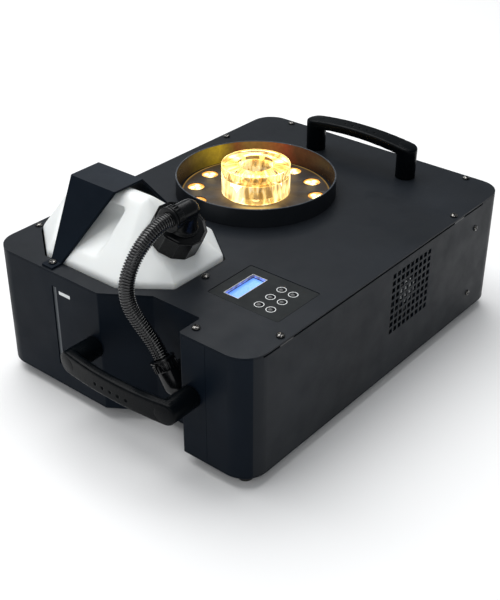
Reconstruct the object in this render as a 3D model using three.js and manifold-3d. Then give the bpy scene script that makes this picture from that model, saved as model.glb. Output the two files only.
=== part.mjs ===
// Vertical fog machine with a light ring, a removable fluid tank and two carrying handles.
// Millimetres, +Z up. The drawing axes start at the corner of the case between the notched
// end and the fan side: X runs along the case, Y runs from the fan side to the tank side.
// The finished group is shifted so that its origin is the middle of the whole box on the floor.
import * as THREE from "three";
import { ConvexGeometry } from "three/addons/geometries/ConvexGeometry.js";
import { mergeVertices } from "three/addons/utils/BufferGeometryUtils.js";
import Module from "manifold-3d";

const wasm = await Module();
wasm.setup();

// ---------------------------------------------------------------- driving dimensions

const gap = 0.3; // between pieces that rest on each other
const running = 0.5; // between pieces that move past each other

const caseLength = 430;
const caseWidth = 324;
const caseHeight = 130;
const cornerRadius = 25;
const foldRadius = 3;
const sheet = 1.5;
const coverSheet = 1.5;

const notchChamferStart = 178; // along Y, on the end face
const notchWallTank = 135.4; // along Y, where the chamfer meets the back of the notch
const notchWallPump = 78;
const notchDepth = 28.8;
const shellSeam = 48.3; // distance of the end seams from the fan side and the tank side

const footHeight = 12;
const footRadius = 9;
const footInset = 20;
const trayFlange = 12;

const tankOpening = { x0: 16.5, x1: 153.5, y0: 128, y1: 309, cutX: 33, cutY: 43 };
const tankClearance = 1.8;
const tankWall = 2;
const tankShoulder = 133; // height where the straight walls of the tank end
const tankTop = 190;
const tankRidge = { x0: 77, x1: 93, y0: 188, y1: 282, bevel: 9 };
const gripRadius = 17;
const gripStart = 218;
const gripEnd = 268;
const gripHeight = 171;
const gripOffset = 34; // from the middle of the tank to the middle of each grip hollow

const neckTilt = THREE.MathUtils.degToRad(30); // leans towards the fan side
const neckY = 162.4;
const neckZ = 155.6;
const neckRadius = 21;
const neckWall = 2.5;
const neckLength = 18;
const capWall = 4.9;
const capSides = 12;
const capPhase = -0.32; // angle of the first corner, from +X
const capHeight = 21.6;
const capSkirtGap = 1.5;
const capRoof = 2.4;

const elbowStemRadius = 8;
const elbowRadius = 10;
const elbowRise = 20;
const elbowReach = 27;
const elbowCollarRadius = 12.3;
const elbowCollarLength = 11;
const elbowSocketDepth = 8;
const elbowNutRadius = 14;
const elbowNutHeight = 5;
const notchElbowY = 93.5;
const notchElbowZ = 62.6;
const notchStem = sheet + 8;
const notchElbowTurn = THREE.MathUtils.degToRad(33); // hose leg, from upright towards the tank

const hoseRadius = 7.3;
const hoseSides = 10;
const dipTubeRadius = 3.5;
const dipTubeLength = 158;

const bracketSheet = 2;
const bracketWidth = 60;
const bracketFootWidth = 14; // of the front leg, which tapers; the rear leg keeps its width
const bracketFootLength = 13;
const bracketY = 247;
const bracketClearance = 1.5; // between the tank and the bracket's flat top
const bracketTopLength = 34;
const bracketLegReach = 53; // run of each leg along X

const lightX = 254;
const lightY = 200;
const ringRadius = 85;
const ringWall = 1.6;
const ringHeight = 20.4;
const ringLip = 9.4; // inward flange that carries the floor disc
const ringFlange = 7;
const ringFlangeSheet = 1.2;
const floorMargin = 4.4; // between the floor disc and the inside of the ring
const floorSheet = 1.2;
const ledCount = 12;
const ledMargin = 20; // from the outside of the ring to the circle of lights
const ledHole = 9.25;
const lensPlateThickness = 2;
const lensHeight = 10;
const lensBand = 14;
const ledBoardThickness = 1.6;
const diffuserRadius = 36.5;
const diffuserBore = 19.5;
const diffuserHeight = 32;
const nozzleRadius = 8;
const nozzleBore = 2.5;
const nozzleStandOut = 11;

const handleSpacing = 121;
const handleApex = 41;
const handleEnd = 35;
const handleThickness = 9.5;
const handleWidth = 22.4;
const handlePostRadius = handleWidth / 2; // flush with the ends of the grip
const handleLength = handleSpacing + handleWidth;
const handleBevel = 2.4;
const topHandleX = 385;
const topHandleY = 157;
const frontHandleY = 125;
const frontHandleZ = 69;

const panel = { x0: 66, x1: 128, y0: 22, y1: 103, corner: 2 };
const panelSheet = 1.2;
const displayWindow = { x0: 75, x1: 116, y0: 74.5, y1: 90.5 };
const displayBorder = 4;
const displayDepth = 8;
const buttonRadius = 3.5;
const buttonColumns = [79, 95.2, 111.4];
const buttonRows = [40, 53.3];
const buttonStandOut = 0.9;
const buttonStem = 9;
const controlBoardDrop = 12;
const boardThickness = 1.6;

const grille = { x: 250.4, z: 83.5, columns: 9, rows: 9, pitch: 7.85, hole: 5.3 };
const sideGap = { x0: 20, x1: 385, depth: 1.6 };
const fanSize = 80;
const fanDepth = 25;
const fanBore = 38;
const fanHub = 16;
const fanBlades = 7;
const fanCorner = 4;
const fanScrewInset = 4.5;
const fanScrewHole = 2.2;
const fanBack = 3; // thickness of the hub plate and struts
const fanStrutWidth = 4;
const fanTipGap = 1; // between the blades and the bore
const fanBladeSheet = 1.5;
const fanBladeChord = 22;
const fanBladePitch = THREE.MathUtils.degToRad(42);
const fanRotorSetback = 2; // of the hub from the front of the frame
const fanX = grille.x;
const fanZ = grille.z;

const sightSlot = { y: 237.7, width: 6, z0: 25, z1: 114 };

const screwHead = 3.9;
const screwHeadHeight = 2.5;
const screwShank = 1.9;
const screwLength = 7;
const screwHoleGap = 0.4;
const tabLength = 18;
const tabDepth = 12;
const bulkheadScrew = { x: 84.2, y: 121.4 };
const screwInset = 7; // from the outside of the wall that the screw's tab folds from
const wallScrews = [
  { x: 50.7, y: screwInset },
  { x: 337.2, y: screwInset },
  { x: caseLength - screwInset, y: 42.3 },
  { x: caseLength - screwInset, y: caseWidth - 41.9 },
  { x: 343.1, y: caseWidth - screwInset },
  { x: 53.7, y: caseWidth - screwInset },
  { x: 14.2, y: 70.3 },
];

const heater = { x0: 196, x1: 380, y0: 168, y1: 232, z0: 26, z1: 76 };
const heaterCoverClearance = 12;
const pumpX = 104;
const pumpY = 46;
const pumpZ = 32;
const pumpLength = 108;
const pumpRadius = 10;
const pumpSpigot = 10;
const coilLength = 50;
const coilSize = 42;
const pipeRadius = 3;
const bulkheadX = 158.5;
const powerBoard = { x0: 322, x1: 412, y0: 46, y1: 132, z: 10 };

const rearFlange = 2.6;
const inlet = { y: 84, z: 66, width: 30, height: 50, socketWidth: 17, socketHeight: 25, depth: 24 };
const rocker = { y: 128, z: 66, width: 12, height: 22, bezel: 4, swing: 10 };
const dmx = { y: [172, 206], z: 66, width: 26, height: 31, radius: 11.5, depth: 20 };

// ---------------------------------------------------------------- shared values

const ring = { top: caseHeight + ringHeight, flangeTop: caseHeight - coverSheet - gap };
const wallTop = caseHeight - coverSheet - gap;
const wallBottom = sheet + gap;
const ringInner = ringRadius - ringWall;
const floorRadius = ringInner - floorMargin;
const ledCircle = ringRadius - ledMargin;
const neckBore = neckRadius - neckWall;
const capRadius = neckRadius + running + capWall;
const tankMiddle = (tankOpening.x0 + tankOpening.x1) / 2;
const boxLow = -(handleApex + gap);
const boxHigh = caseLength + gap + rearFlange;

// ---------------------------------------------------------------- finishes

const finish = (color, roughness, metalness, extra = {}) =>
  new THREE.MeshStandardMaterial({ color, roughness, metalness, ...extra });
const blackPaint = finish(0x24272b, 0.5, 0.3);
const navyBlackPaint = finish(0x181e26, 0.45, 0.3);
const blackPlastic = finish(0x15171a, 0.42, 0);
const glossBlackPlastic = finish(0x101214, 0.25, 0);
const blackRubber = finish(0x0d0d0e, 0.85, 0);
const milkyPlastic = finish(0xe9ebea, 0.45, 0);
const clearAcrylic = finish(0xffe9b8, 0.05, 0, { transparent: true, opacity: 0.4 });
const lensPlastic = finish(0xfff3d0, 0.1, 0);
const warmReflector = finish(0x16181b, 0.3, 0.4);
const panelInk = finish(0x1b1f22, 0.5, 0);
const displayBlue = finish(0x6fa8ff, 0.2, 0);
const circuitGreen = finish(0x1d5a34, 0.6, 0);
const castAluminium = finish(0x9a9c9e, 0.55, 0.8);
const brass = finish(0xb5904a, 0.35, 0.9);
const galvanised = finish(0x8f9396, 0.45, 0.85);
const darkScrew = finish(0x2a2b2d, 0.3, 0.9);
const copperColour = finish(0x8a4a2a, 0.4, 0.6);

// ---------------------------------------------------------------- geometry helpers

const point2 = (x, y) => new THREE.Vector2(x, y);

function arcPoints(x, y, radius, from, to, steps) {
  return Array.from({ length: steps + 1 }, (_, step) => {
    const angle = from + ((to - from) * step) / steps;
    return point2(x + radius * Math.cos(angle), y + radius * Math.sin(angle));
  });
}

function circlePoints(x, y, radius, sides) {
  return arcPoints(x, y, radius, 0, 2 * Math.PI, sides).slice(0, sides);
}

// Corners are {x, y, r}; a corner with r above zero is rounded.
function filletCorner(corner, before, after, steps) {
  const tip = point2(corner.x, corner.y);
  if (corner.r < 0.05) {
    return [tip];
  }
  const back = point2(before.x, before.y).sub(tip).normalize();
  const ahead = point2(after.x, after.y).sub(tip).normalize();
  const half = Math.acos(THREE.MathUtils.clamp(back.dot(ahead), -1, 1)) / 2;
  const centre = back.clone().add(ahead).normalize().multiplyScalar(corner.r / Math.sin(half)).add(tip);
  const reach = corner.r / Math.tan(half);
  const start = tip.clone().addScaledVector(back, reach).sub(centre);
  const end = tip.clone().addScaledVector(ahead, reach).sub(centre);
  const from = Math.atan2(start.y, start.x);
  let sweep = Math.atan2(end.y, end.x) - from;
  sweep -= 2 * Math.PI * Math.round(sweep / (2 * Math.PI));
  return arcPoints(centre.x, centre.y, corner.r, from, from + sweep, steps);
}

function outlinePoints(corners, steps = 6) {
  const count = corners.length;
  return corners.flatMap((corner, index) =>
    filletCorner(corner, corners[(index + count - 1) % count], corners[(index + 1) % count], steps),
  );
}

// Moves every edge of a counter-clockwise outline inwards by the same distance.
function insetCorners(corners, distance) {
  const count = corners.length;
  return corners.map((corner, index) => {
    const before = corners[(index + count - 1) % count];
    const after = corners[(index + 1) % count];
    const into = point2(corner.x - before.x, corner.y - before.y).normalize();
    const away = point2(after.x - corner.x, after.y - corner.y).normalize();
    const turn = into.x * away.y - into.y * away.x;
    const normalIn = point2(-into.y, into.x);
    const normalOut = point2(-away.y, away.x);
    const slide = distance / (1 + normalIn.dot(normalOut));
    const x = corner.x + (normalIn.x + normalOut.x) * slide;
    const y = corner.y + (normalIn.y + normalOut.y) * slide;
    const radius = turn > 0 ? Math.max(corner.r - distance, 0) : corner.r + distance;
    return { x, y, r: corner.r > 0 ? radius : 0 };
  });
}

function plate(points, thickness, z, holes = []) {
  const shape = new THREE.Shape(points);
  shape.holes = holes.map((hole) => new THREE.Path(hole));
  const geometry = new THREE.ExtrudeGeometry(shape, { depth: thickness, bevelEnabled: false });
  return geometry.translate(0, 0, z);
}

function solid(geometry) {
  const bare = new THREE.BufferGeometry();
  bare.setAttribute("position", geometry.getAttribute("position").clone());
  if (geometry.index) {
    bare.setIndex(geometry.index.clone());
  }
  const merged = mergeVertices(bare, 1e-4);
  const vertProperties = new Float32Array(merged.getAttribute("position").array);
  const triVerts = new Uint32Array(merged.index.array);
  return new wasm.Manifold(new wasm.Mesh({ numProp: 3, vertProperties, triVerts }));
}

function shapeOf(body) {
  const { vertProperties, triVerts } = body.getMesh();
  const geometry = new THREE.BufferGeometry();
  geometry.setAttribute("position", new THREE.BufferAttribute(vertProperties, 3));
  geometry.setIndex(new THREE.BufferAttribute(triVerts, 1));
  return geometry;
}

const joined = (bodies) => bodies.reduce((whole, body) => whole.add(body));
const without = (body, cutters) => cutters.reduce((rest, cutter) => rest.subtract(cutter), body);

function block(x0, x1, y0, y1, z0, z1) {
  const geometry = new THREE.BoxGeometry(x1 - x0, y1 - y0, z1 - z0);
  return solid(geometry.translate((x0 + x1) / 2, (y0 + y1) / 2, (z0 + z1) / 2));
}

// An upright round bar from z0 to z1; radius may differ at the two ends.
function rod(x, y, z0, z1, radius, sides = 24, topRadius = radius) {
  const geometry = new THREE.CylinderGeometry(topRadius, radius, z1 - z0, sides);
  geometry.rotateX(Math.PI / 2);
  return solid(geometry.translate(x, y, (z0 + z1) / 2));
}

function turned(geometry, axis, angle) {
  return geometry.applyMatrix4(new THREE.Matrix4().makeRotationAxis(axis, angle));
}

// A round bar along +X or +Y.
function barX(x0, x1, y, z, radius, sides = 24) {
  const geometry = new THREE.CylinderGeometry(radius, radius, x1 - x0, sides);
  geometry.rotateZ(Math.PI / 2);
  return solid(geometry.translate((x0 + x1) / 2, y, z));
}

function barY(y0, y1, x, z, radius, sides = 24) {
  const geometry = new THREE.CylinderGeometry(radius, radius, y1 - y0, sides);
  return solid(geometry.translate(x, (y0 + y1) / 2, z));
}

// Stands up a piece whose outline was drawn as (y, z), so that its depth runs along +X.
function acrossX(geometry) {
  const alongY = new THREE.Vector3(0, 1, 0);
  const alongZ = new THREE.Vector3(0, 0, 1);
  const alongX = new THREE.Vector3(1, 0, 0);
  return geometry.applyMatrix4(new THREE.Matrix4().makeBasis(alongY, alongZ, alongX));
}

// Turns a closed outline of [radius, height] pairs about the Z axis.
function lathe(profile, sides) {
  const points = profile.map(([radius, height]) => point2(radius, height));
  points.push(points[0].clone());
  return new THREE.LatheGeometry(points, sides).rotateX(Math.PI / 2);
}

function tubeAlong(points, radius, sides, steps) {
  const section = new THREE.Shape(circlePoints(0, 0, radius, sides));
  const extrudePath = new THREE.CatmullRomCurve3(points.map((point) => new THREE.Vector3(...point)));
  return new THREE.ExtrudeGeometry(section, { extrudePath, steps, bevelEnabled: false });
}

const machine = new THREE.Group();
machine.position.set(-(boxLow + boxHigh) / 2, -caseWidth / 2, footHeight);

function addPiece(name, geometry, material, parent = machine) {
  const mesh = new THREE.Mesh(geometry, material);
  mesh.name = name;
  parent.add(mesh);
  return mesh;
}

// ---------------------------------------------------------------- case

const caseCorners = [
  { x: 0, y: 0, r: cornerRadius },
  { x: caseLength, y: 0, r: cornerRadius },
  { x: caseLength, y: caseWidth, r: cornerRadius },
  { x: 0, y: caseWidth, r: cornerRadius },
  { x: 0, y: notchChamferStart, r: foldRadius },
  { x: notchDepth, y: notchWallTank, r: foldRadius },
  { x: notchDepth, y: notchWallPump, r: foldRadius },
  { x: 0, y: notchWallPump, r: foldRadius },
];

function tankCorners(inset) {
  const { x0, x1, y0, y1, cutX, cutY } = tankOpening;
  const corners = [
    { x: x0 + cutX, y: y0, r: foldRadius },
    { x: x1 - cutX, y: y0, r: foldRadius },
    { x: x1, y: y0 + cutY, r: foldRadius },
    { x: x1, y: y1 - cutY, r: foldRadius },
    { x: x1 - cutX, y: y1, r: foldRadius },
    { x: x0 + cutX, y: y1, r: foldRadius },
    { x: x0, y: y1 - cutY, r: foldRadius },
    { x: x0, y: y0 + cutY, r: foldRadius },
  ];
  return insetCorners(corners, inset);
}

const bracketFrontFoot = tankMiddle - bracketTopLength / 2 - bracketLegReach;
const bracketRearFoot = tankMiddle + bracketTopLength / 2 + bracketLegReach;
const bracketScrews = [
  { x: bracketFrontFoot - bracketFootLength / 2 + bracketSheet / 2, y: bracketY },
  { x: bracketRearFoot + bracketFootLength / 2 - bracketSheet / 2, y: bracketY },
];
const coverScrews = [...wallScrews, bulkheadScrew, ...bracketScrews];
const screwHole = screwShank + screwHoleGap;

function panelCorners(inset) {
  const { x0, x1, y0, y1, corner } = panel;
  const corners = [
    { x: x0, y: y0, r: corner },
    { x: x1, y: y0, r: corner },
    { x: x1, y: y1, r: corner },
    { x: x0, y: y1, r: corner },
  ];
  return insetCorners(corners, inset);
}

function makeTopCover() {
  const holes = [
    outlinePoints(tankCorners(0), 2),
    circlePoints(lightX, lightY, ringRadius + gap, 48),
    outlinePoints(panelCorners(-gap), 3),
    ...coverScrews.map(({ x, y }) => circlePoints(x, y, screwHole, 10)),
  ];
  return plate(outlinePoints(caseCorners, 8), coverSheet, caseHeight - coverSheet, holes);
}

// The walls of the case as one upright band, cut into shells at the seams.
function wallBand() {
  const outer = outlinePoints(caseCorners, 8);
  const inner = outlinePoints(insetCorners(caseCorners, sheet), 8);
  return solid(plate(outer, wallTop - wallBottom, wallBottom, [inner]));
}

// A folded tab under each cover screw, drawn from the nearest wall.
function screwTab({ x, y }) {
  const half = tabLength / 2;
  const z0 = wallTop - sheet;
  const inwards = sheet / 2;
  const nearFan = y < tabDepth;
  const nearTank = y > caseWidth - tabDepth;
  const nearNotch = x < tabDepth + sheet * 2;
  const tab = nearFan
    ? block(x - half, x + half, inwards, tabDepth, z0, wallTop)
    : nearTank
      ? block(x - half, x + half, caseWidth - tabDepth, caseWidth - inwards, z0, wallTop)
      : nearNotch
        ? block(inwards, x + screwHead + sheet, y - half / 2, y + half / 2, z0, wallTop)
        : block(caseLength - tabDepth, caseLength - inwards, y - half / 2, y + half / 2, z0, wallTop);
  return tab.subtract(rod(x, y, z0 - 1, wallTop + 1, screwHole, 10));
}

function makeFanSideShell(band) {
  const low = shellSeam - gap / 2;
  const keep = block(-1, caseLength + 1, -1, low, 0, caseHeight);
  const tabs = wallScrews.filter(({ y }) => y < low).map(screwTab);
  const shell = joined([band.intersect(keep), ...tabs]);
  const shadowGap = block(sideGap.x0, sideGap.x1, -1, sheet + 1, wallTop - sideGap.depth, caseHeight);
  const slots = [];
  for (let column = 0; column < grille.columns; column += 1) {
    for (let row = 0; row < grille.rows; row += 1) {
      const x = grille.x + (column - (grille.columns - 1) / 2) * grille.pitch;
      const z = grille.z + (row - (grille.rows - 1) / 2) * grille.pitch;
      const half = grille.hole / 2;
      slots.push(block(x - half, x + half, -1, sheet + 1, z - half, z + half));
    }
  }
  const tabClear = wallScrews
    .filter(({ y }) => y < tabDepth)
    .map(({ x }) => {
      const low = wallTop - sideGap.depth;
      return block(x - tabLength / 2, x + tabLength / 2, -1, sheet + 1, low, caseHeight);
    });
  return shapeOf(without(shell, [without(shadowGap, tabClear), ...slots]));
}

function makeTankSideShell(band) {
  const low = shellSeam + gap / 2;
  const rearCut = block(
    caseLength - sheet - 1,
    caseLength + 1,
    low - 1,
    caseWidth - shellSeam + gap / 2,
    0,
    caseHeight,
  );
  const keep = block(-1, caseLength + 1, low, caseWidth + 1, 0, caseHeight);
  const tabs = [...wallScrews.filter((screw) => screw.y > low), bracketScrews[0]];
  const walls = joined([band.intersect(keep), ...tabs.map(screwTab)]);
  const { y, width, z0, z1 } = sightSlot;
  const slot = block(-1, sheet + 1, y - width / 2, y + width / 2, z0, z1);
  const holeEnd = notchDepth + sheet + 2;
  const hoseHole = barX(notchDepth - 2, holeEnd, notchElbowY, notchElbowZ, elbowStemRadius + gap);
  return shapeOf(without(walls, [rearCut, slot, hoseHole]));
}

function makeRearPanel(band) {
  const keep = block(
    caseLength - sheet - 1,
    caseLength + 1,
    shellSeam + gap / 2,
    caseWidth - shellSeam - gap / 2,
    0,
    caseHeight,
  );
  const x0 = caseLength - sheet - 1;
  const x1 = caseLength + 1;
  const inletHole = block(
    x0,
    x1,
    inlet.y - inlet.socketWidth / 2 - 2,
    inlet.y + inlet.socketWidth / 2 + 2,
    inlet.z - inlet.socketHeight / 2 - 2,
    inlet.z + inlet.socketHeight / 2 + 2,
  );
  const halfWidth = rocker.width / 2 + rocker.bezel / 2;
  const halfHeight = rocker.height / 2 + rocker.bezel / 2;
  const rockerHole = block(
    x0,
    x1,
    rocker.y - halfWidth,
    rocker.y + halfWidth,
    rocker.z - halfHeight,
    rocker.z + halfHeight,
  );
  const dmxHoles = dmx.y.map((y) => barX(x0, x1, y, dmx.z, dmx.radius + gap, 16));
  return shapeOf(without(band.intersect(keep), [inletHole, rockerHole, ...dmxHoles]));
}

function makeBottomTray() {
  const base = solid(plate(outlinePoints(caseCorners, 8), sheet, 0));
  const outer = outlinePoints(insetCorners(caseCorners, sheet + gap), 8);
  const inner = outlinePoints(insetCorners(caseCorners, 2 * sheet + gap), 8);
  const flange = solid(plate(outer, trayFlange, sheet / 2, [inner]));
  return shapeOf(base.add(flange));
}

// An upright folded sheet between the tank and the electrics, with a tab under the cover.
function makeBulkhead() {
  const corners = tankCorners(-tankClearance);
  const edge = corners[1].y;
  const side = bulkheadX;
  const z0 = sheet + gap;
  const height = wallTop - z0;
  const outline = [
    point2(notchDepth + sheet + gap + 2, edge - sheet),
    point2(corners[1].x, edge - sheet),
    point2(side, corners[2].y - sheet),
    point2(side, caseWidth - 2 * sheet - 2 * gap),
    point2(side - sheet, caseWidth - 2 * sheet - 2 * gap),
    point2(side - sheet, corners[2].y),
    point2(corners[1].x - 1, edge),
    point2(notchDepth + sheet + gap + 2, edge),
  ];
  const wall = solid(plate(outline, height, z0));
  const { x, y } = bulkheadScrew;
  const half = tabLength / 2;
  const tab = block(x - half, x + half, y - tabDepth / 2, edge - sheet / 2, wallTop - sheet, wallTop);
  const rear = bracketScrews[1];
  const rearTab = block(
    side - sheet / 2,
    rear.x + tabDepth / 2,
    rear.y - half,
    rear.y + half,
    wallTop - sheet,
    wallTop,
  );
  const holes = [bulkheadScrew, rear].map((screw) =>
    rod(screw.x, screw.y, wallTop - sheet - 1, wallTop + 1, screwHole, 10),
  );
  return shapeOf(without(joined([wall, tab, rearTab]), holes));
}

function makeFoot() {
  const profile = [
    [0, -footHeight],
    [footRadius - 1.5, -footHeight],
    [footRadius, -gap],
    [0, -gap],
  ];
  const points = profile.map(([radius, height]) => point2(radius, height));
  return new THREE.LatheGeometry(points, 20).rotateX(Math.PI / 2);
}

function addCase() {
  const band = wallBand();
  addPiece("top_cover", makeTopCover(), blackPaint);
  addPiece("fan_side_shell", makeFanSideShell(band), blackPaint);
  addPiece("tank_side_shell", makeTankSideShell(band), navyBlackPaint);
  addPiece("rear_panel", makeRearPanel(band), blackPaint);
  addPiece("bottom_tray", makeBottomTray(), blackPaint);
  addPiece("tank_bulkhead", makeBulkhead(), galvanised);
  const foot = makeFoot();
  const places = [
    [footInset, footInset],
    [caseLength - footInset, footInset],
    [caseLength - footInset, caseWidth - footInset],
    [footInset, caseWidth - footInset],
  ];
  places.forEach(([x, y], index) => {
    addPiece(`foot_${index + 1}`, foot, blackRubber).position.set(x, y, 0);
  });
}

// ---------------------------------------------------------------- screws

function makeScrew() {
  const profile = [
    [0, -screwLength],
    [screwShank, -screwLength],
    [screwShank, gap],
    [screwHead, gap],
    [screwHead, gap + screwHeadHeight * 0.55],
    [screwHead * 0.7, gap + screwHeadHeight * 0.92],
    [0, gap + screwHeadHeight],
  ];
  const points = profile.map(([radius, height]) => point2(radius, height));
  return new THREE.LatheGeometry(points, 10).rotateX(Math.PI / 2);
}

function addScrews() {
  const screw = makeScrew();
  [...wallScrews, bulkheadScrew].forEach(({ x, y }, index) => {
    addPiece(`cover_screw_${index + 1}`, screw, darkScrew).position.set(x, y, caseHeight);
  });
  const onBracket = caseHeight + gap + bracketSheet;
  bracketScrews.forEach(({ x, y }, index) => {
    addPiece(`bracket_screw_${index + 1}`, screw, darkScrew).position.set(x, y, onBracket);
  });
}

// ---------------------------------------------------------------- tank and its outlet

function hullOf(points) {
  return solid(new ConvexGeometry(points.map(([x, y, z]) => new THREE.Vector3(x, y, z))));
}

// The tank as a solid, or its inside when inset is the wall thickness.
function tankBody(inset) {
  const corners = tankCorners(tankClearance + inset);
  const ring2 = outlinePoints(corners, 2);
  const bottom = sheet + gap + inset;
  const shoulder = tankShoulder - inset * 0.4;
  const straight = solid(plate(ring2, shoulder - bottom, bottom));
  const { x0, x1, y0, y1, bevel } = tankRidge;
  const top = tankTop - inset;
  const ridge = [
    [x0 + inset, y0 + inset, top],
    [x1 - inset, y0 + inset, top],
    [x1 - inset, y1 - inset, top],
    [x0 + inset, y1 - inset, top],
    [x0 - bevel + inset, y0 + inset, top - bevel],
    [x1 + bevel - inset, y0 + inset, top - bevel],
    [x1 + bevel - inset, y1 + bevel - inset, top - bevel],
    [x0 - bevel + inset, y1 + bevel - inset, top - bevel],
  ];
  const brim = ring2.map(({ x, y }) => [x, y, shoulder]);
  const roof = hullOf([...ridge, ...brim]);
  return joined([straight, roof]).subtract(neckPocket(inset)).subtract(gripHollows(inset));
}

// Everything above the slanted shoulder that carries the neck.
function neckPocket(inset) {
  const size = 200;
  const box = new THREE.BoxGeometry(size, size, size);
  box.translate(0, 0, size / 2 - inset);
  turned(box, new THREE.Vector3(1, 0, 0), neckTilt);
  box.translate(tankMiddle, neckY, neckZ);
  const behindNeck = block(-size, 2 * size, tankRidge.y0 + inset, 4 * size, -size, 3 * size);
  return solid(box).subtract(behindNeck);
}

function gripHollows(inset) {
  const radius = gripRadius + inset;
  const hollow = (x) =>
    hullOf(
      [gripStart, gripEnd].flatMap((y) => {
        const ball = new THREE.SphereGeometry(radius, 12, 8).translate(x, y, gripHeight);
        const spots = ball.getAttribute("position");
        return Array.from({ length: spots.count }, (_, i) => [spots.getX(i), spots.getY(i), spots.getZ(i)]);
      }),
    );
  return joined([hollow(tankMiddle - gripOffset - 3), hollow(tankMiddle + gripOffset + 3)]);
}

// Places a piece drawn along +Z from the neck's base onto the slanted neck.
function onNeck(geometry) {
  turned(geometry, new THREE.Vector3(1, 0, 0), neckTilt);
  return geometry.translate(tankMiddle, neckY, neckZ);
}

function makeTank() {
  const neck = solid(onNeck(new THREE.CylinderGeometry(neckRadius, neckRadius, neckLength + 6, 28)
    .rotateX(Math.PI / 2).translate(0, 0, (neckLength - 6) / 2)));
  const boreDepth = 14;
  const bore = solid(onNeck(new THREE.CylinderGeometry(neckBore, neckBore, neckLength + boreDepth + 2, 28)
    .rotateX(Math.PI / 2).translate(0, 0, (neckLength + 2 - boreDepth) / 2)));
  return shapeOf(without(joined([tankBody(0), neck]), [tankBody(tankWall), bore]));
}

function makeCap() {
  const outer = circlePoints(0, 0, capRadius, capSides);
  const roof = capSkirtGap + capHeight;
  const body = solid(plate(outer, capHeight, capSkirtGap).rotateZ(capPhase));
  const boreTop = roof - capRoof;
  const bore = rod(0, 0, 0, boreTop, neckRadius + running, 28);
  const stemHole = rod(0, 0, 0, roof + 1, elbowStemRadius + running, 20);
  return onNeck(shapeOf(without(body, [bore, stemHole])));
}

// A right-angled hose elbow. It stands on the XY plane with its stem through the origin,
// rises along +Z and turns into a hose leg along -X with a collar and a socket.
function elbowBody(stemDepth) {
  const bend = elbowRadius + 2;
  const steps = 5;
  const path = new THREE.CurvePath();
  const corner = new THREE.QuadraticBezierCurve3(
    new THREE.Vector3(0, 0, elbowRise - bend),
    new THREE.Vector3(0, 0, elbowRise),
    new THREE.Vector3(-bend, 0, elbowRise),
  );
  path.add(corner);
  const section = new THREE.Shape(circlePoints(0, 0, elbowRadius, 12));
  const knee = solid(new THREE.ExtrudeGeometry(section, { extrudePath: path, steps, bevelEnabled: false }));
  const riser = rod(0, 0, gap, elbowRise - bend + 0.5, elbowRadius, 12);
  const leg = barX(-elbowReach, -bend + 0.5, 0, elbowRise, elbowRadius, 12);
  const collar = barX(-elbowReach, -elbowReach + elbowCollarLength, 0, elbowRise, elbowCollarRadius, 16);
  const nut = rod(0, 0, gap, gap + elbowNutHeight, elbowNutRadius, 6);
  const stem = rod(0, 0, -stemDepth, gap + 1, elbowStemRadius, 12);
  const socket = barX(
    -elbowReach - 1,
    -elbowReach + elbowSocketDepth,
    0,
    elbowRise,
    hoseRadius + gap,
    14,
  );
  return without(joined([stem, nut, riser, knee, leg, collar]), [socket]);
}

function makeDipTube() {
  const top = capHeight + capSkirtGap - capRoof - 8;
  const outer = rod(0, 0, top - dipTubeLength, top, dipTubeRadius, 10);
  const inner = rod(0, 0, top - dipTubeLength - 1, top + 1, dipTubeRadius - 1, 10);
  return onNeck(shapeOf(outer.subtract(inner)));
}

// The corrugated hose: a route through hand-chosen points from the cap elbow to the notch elbow.
const hoseRoute = [
  [65.6, 140.9, 192.9],
  [56.5, 140.9, 192.9],
  [47, 141, 191.8],
  [36.5, 141.2, 188.4],
  [26.5, 141.3, 182.6],
  [17, 141.4, 174.8],
  [9, 141.4, 165],
  [3.5, 141.2, 153.5],
  [1, 139.6, 141.5],
  [1.2, 135.6, 129.6],
  [3.4, 129.4, 118.2],
  [6, 122.8, 107.6],
  [8.2, 116.6, 98],
  [8.8, 111.8, 90.8],
  [8.8, 108.2, 85.2],
  [8.8, 104.2, 79.1],
];

function makeHose() {
  return tubeAlong(hoseRoute, hoseRadius, hoseSides, 34);
}

function makeBracket() {
  const half = bracketTopLength / 2;
  const top = tankTop + bracketClearance + bracketSheet;
  const base = caseHeight + gap;
  const outer = [
    [bracketFrontFoot - bracketFootLength, base],
    [bracketFrontFoot, base],
    [tankMiddle - half, top - bracketSheet],
    [tankMiddle + half, top - bracketSheet],
    [bracketRearFoot, base],
    [bracketRearFoot + bracketFootLength, base],
    [bracketRearFoot + bracketFootLength, base + bracketSheet],
    [bracketRearFoot + bracketSheet * 0.8, base + bracketSheet],
    [tankMiddle + half + bracketSheet * 0.8, top],
    [tankMiddle - half - bracketSheet * 0.8, top],
    [bracketFrontFoot - bracketSheet * 0.8, base + bracketSheet],
    [bracketFrontFoot - bracketFootLength, base + bracketSheet],
  ].map(([x, z]) => point2(x, z));
  const strap = plate(outer, bracketWidth, -bracketWidth / 2).rotateX(Math.PI / 2);
  strap.translate(0, bracketY, 0);
  const near = bracketFootWidth / 2;
  const far = bracketWidth / 2;
  const beyond = bracketFootLength + 20;
  const taper = [-1, 1].map((side) => {
    const sidePoints = [
      [-beyond, near],
      [0, near],
      [bracketLegReach, far + 0.01],
      [bracketLegReach, far + 20],
      [-beyond, far + 20],
    ].map(([x, y]) => point2(bracketFrontFoot + x, bracketY + side * y));
    const ordered = side > 0 ? sidePoints : sidePoints.reverse();
    return solid(plate(ordered, top - base + 40, base - 20));
  });
  const holes = bracketScrews.map(({ x, y }) => rod(x, y, base - 5, base + 5, screwHole, 10));
  return shapeOf(without(solid(strap), [...taper, ...holes]));
}

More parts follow.
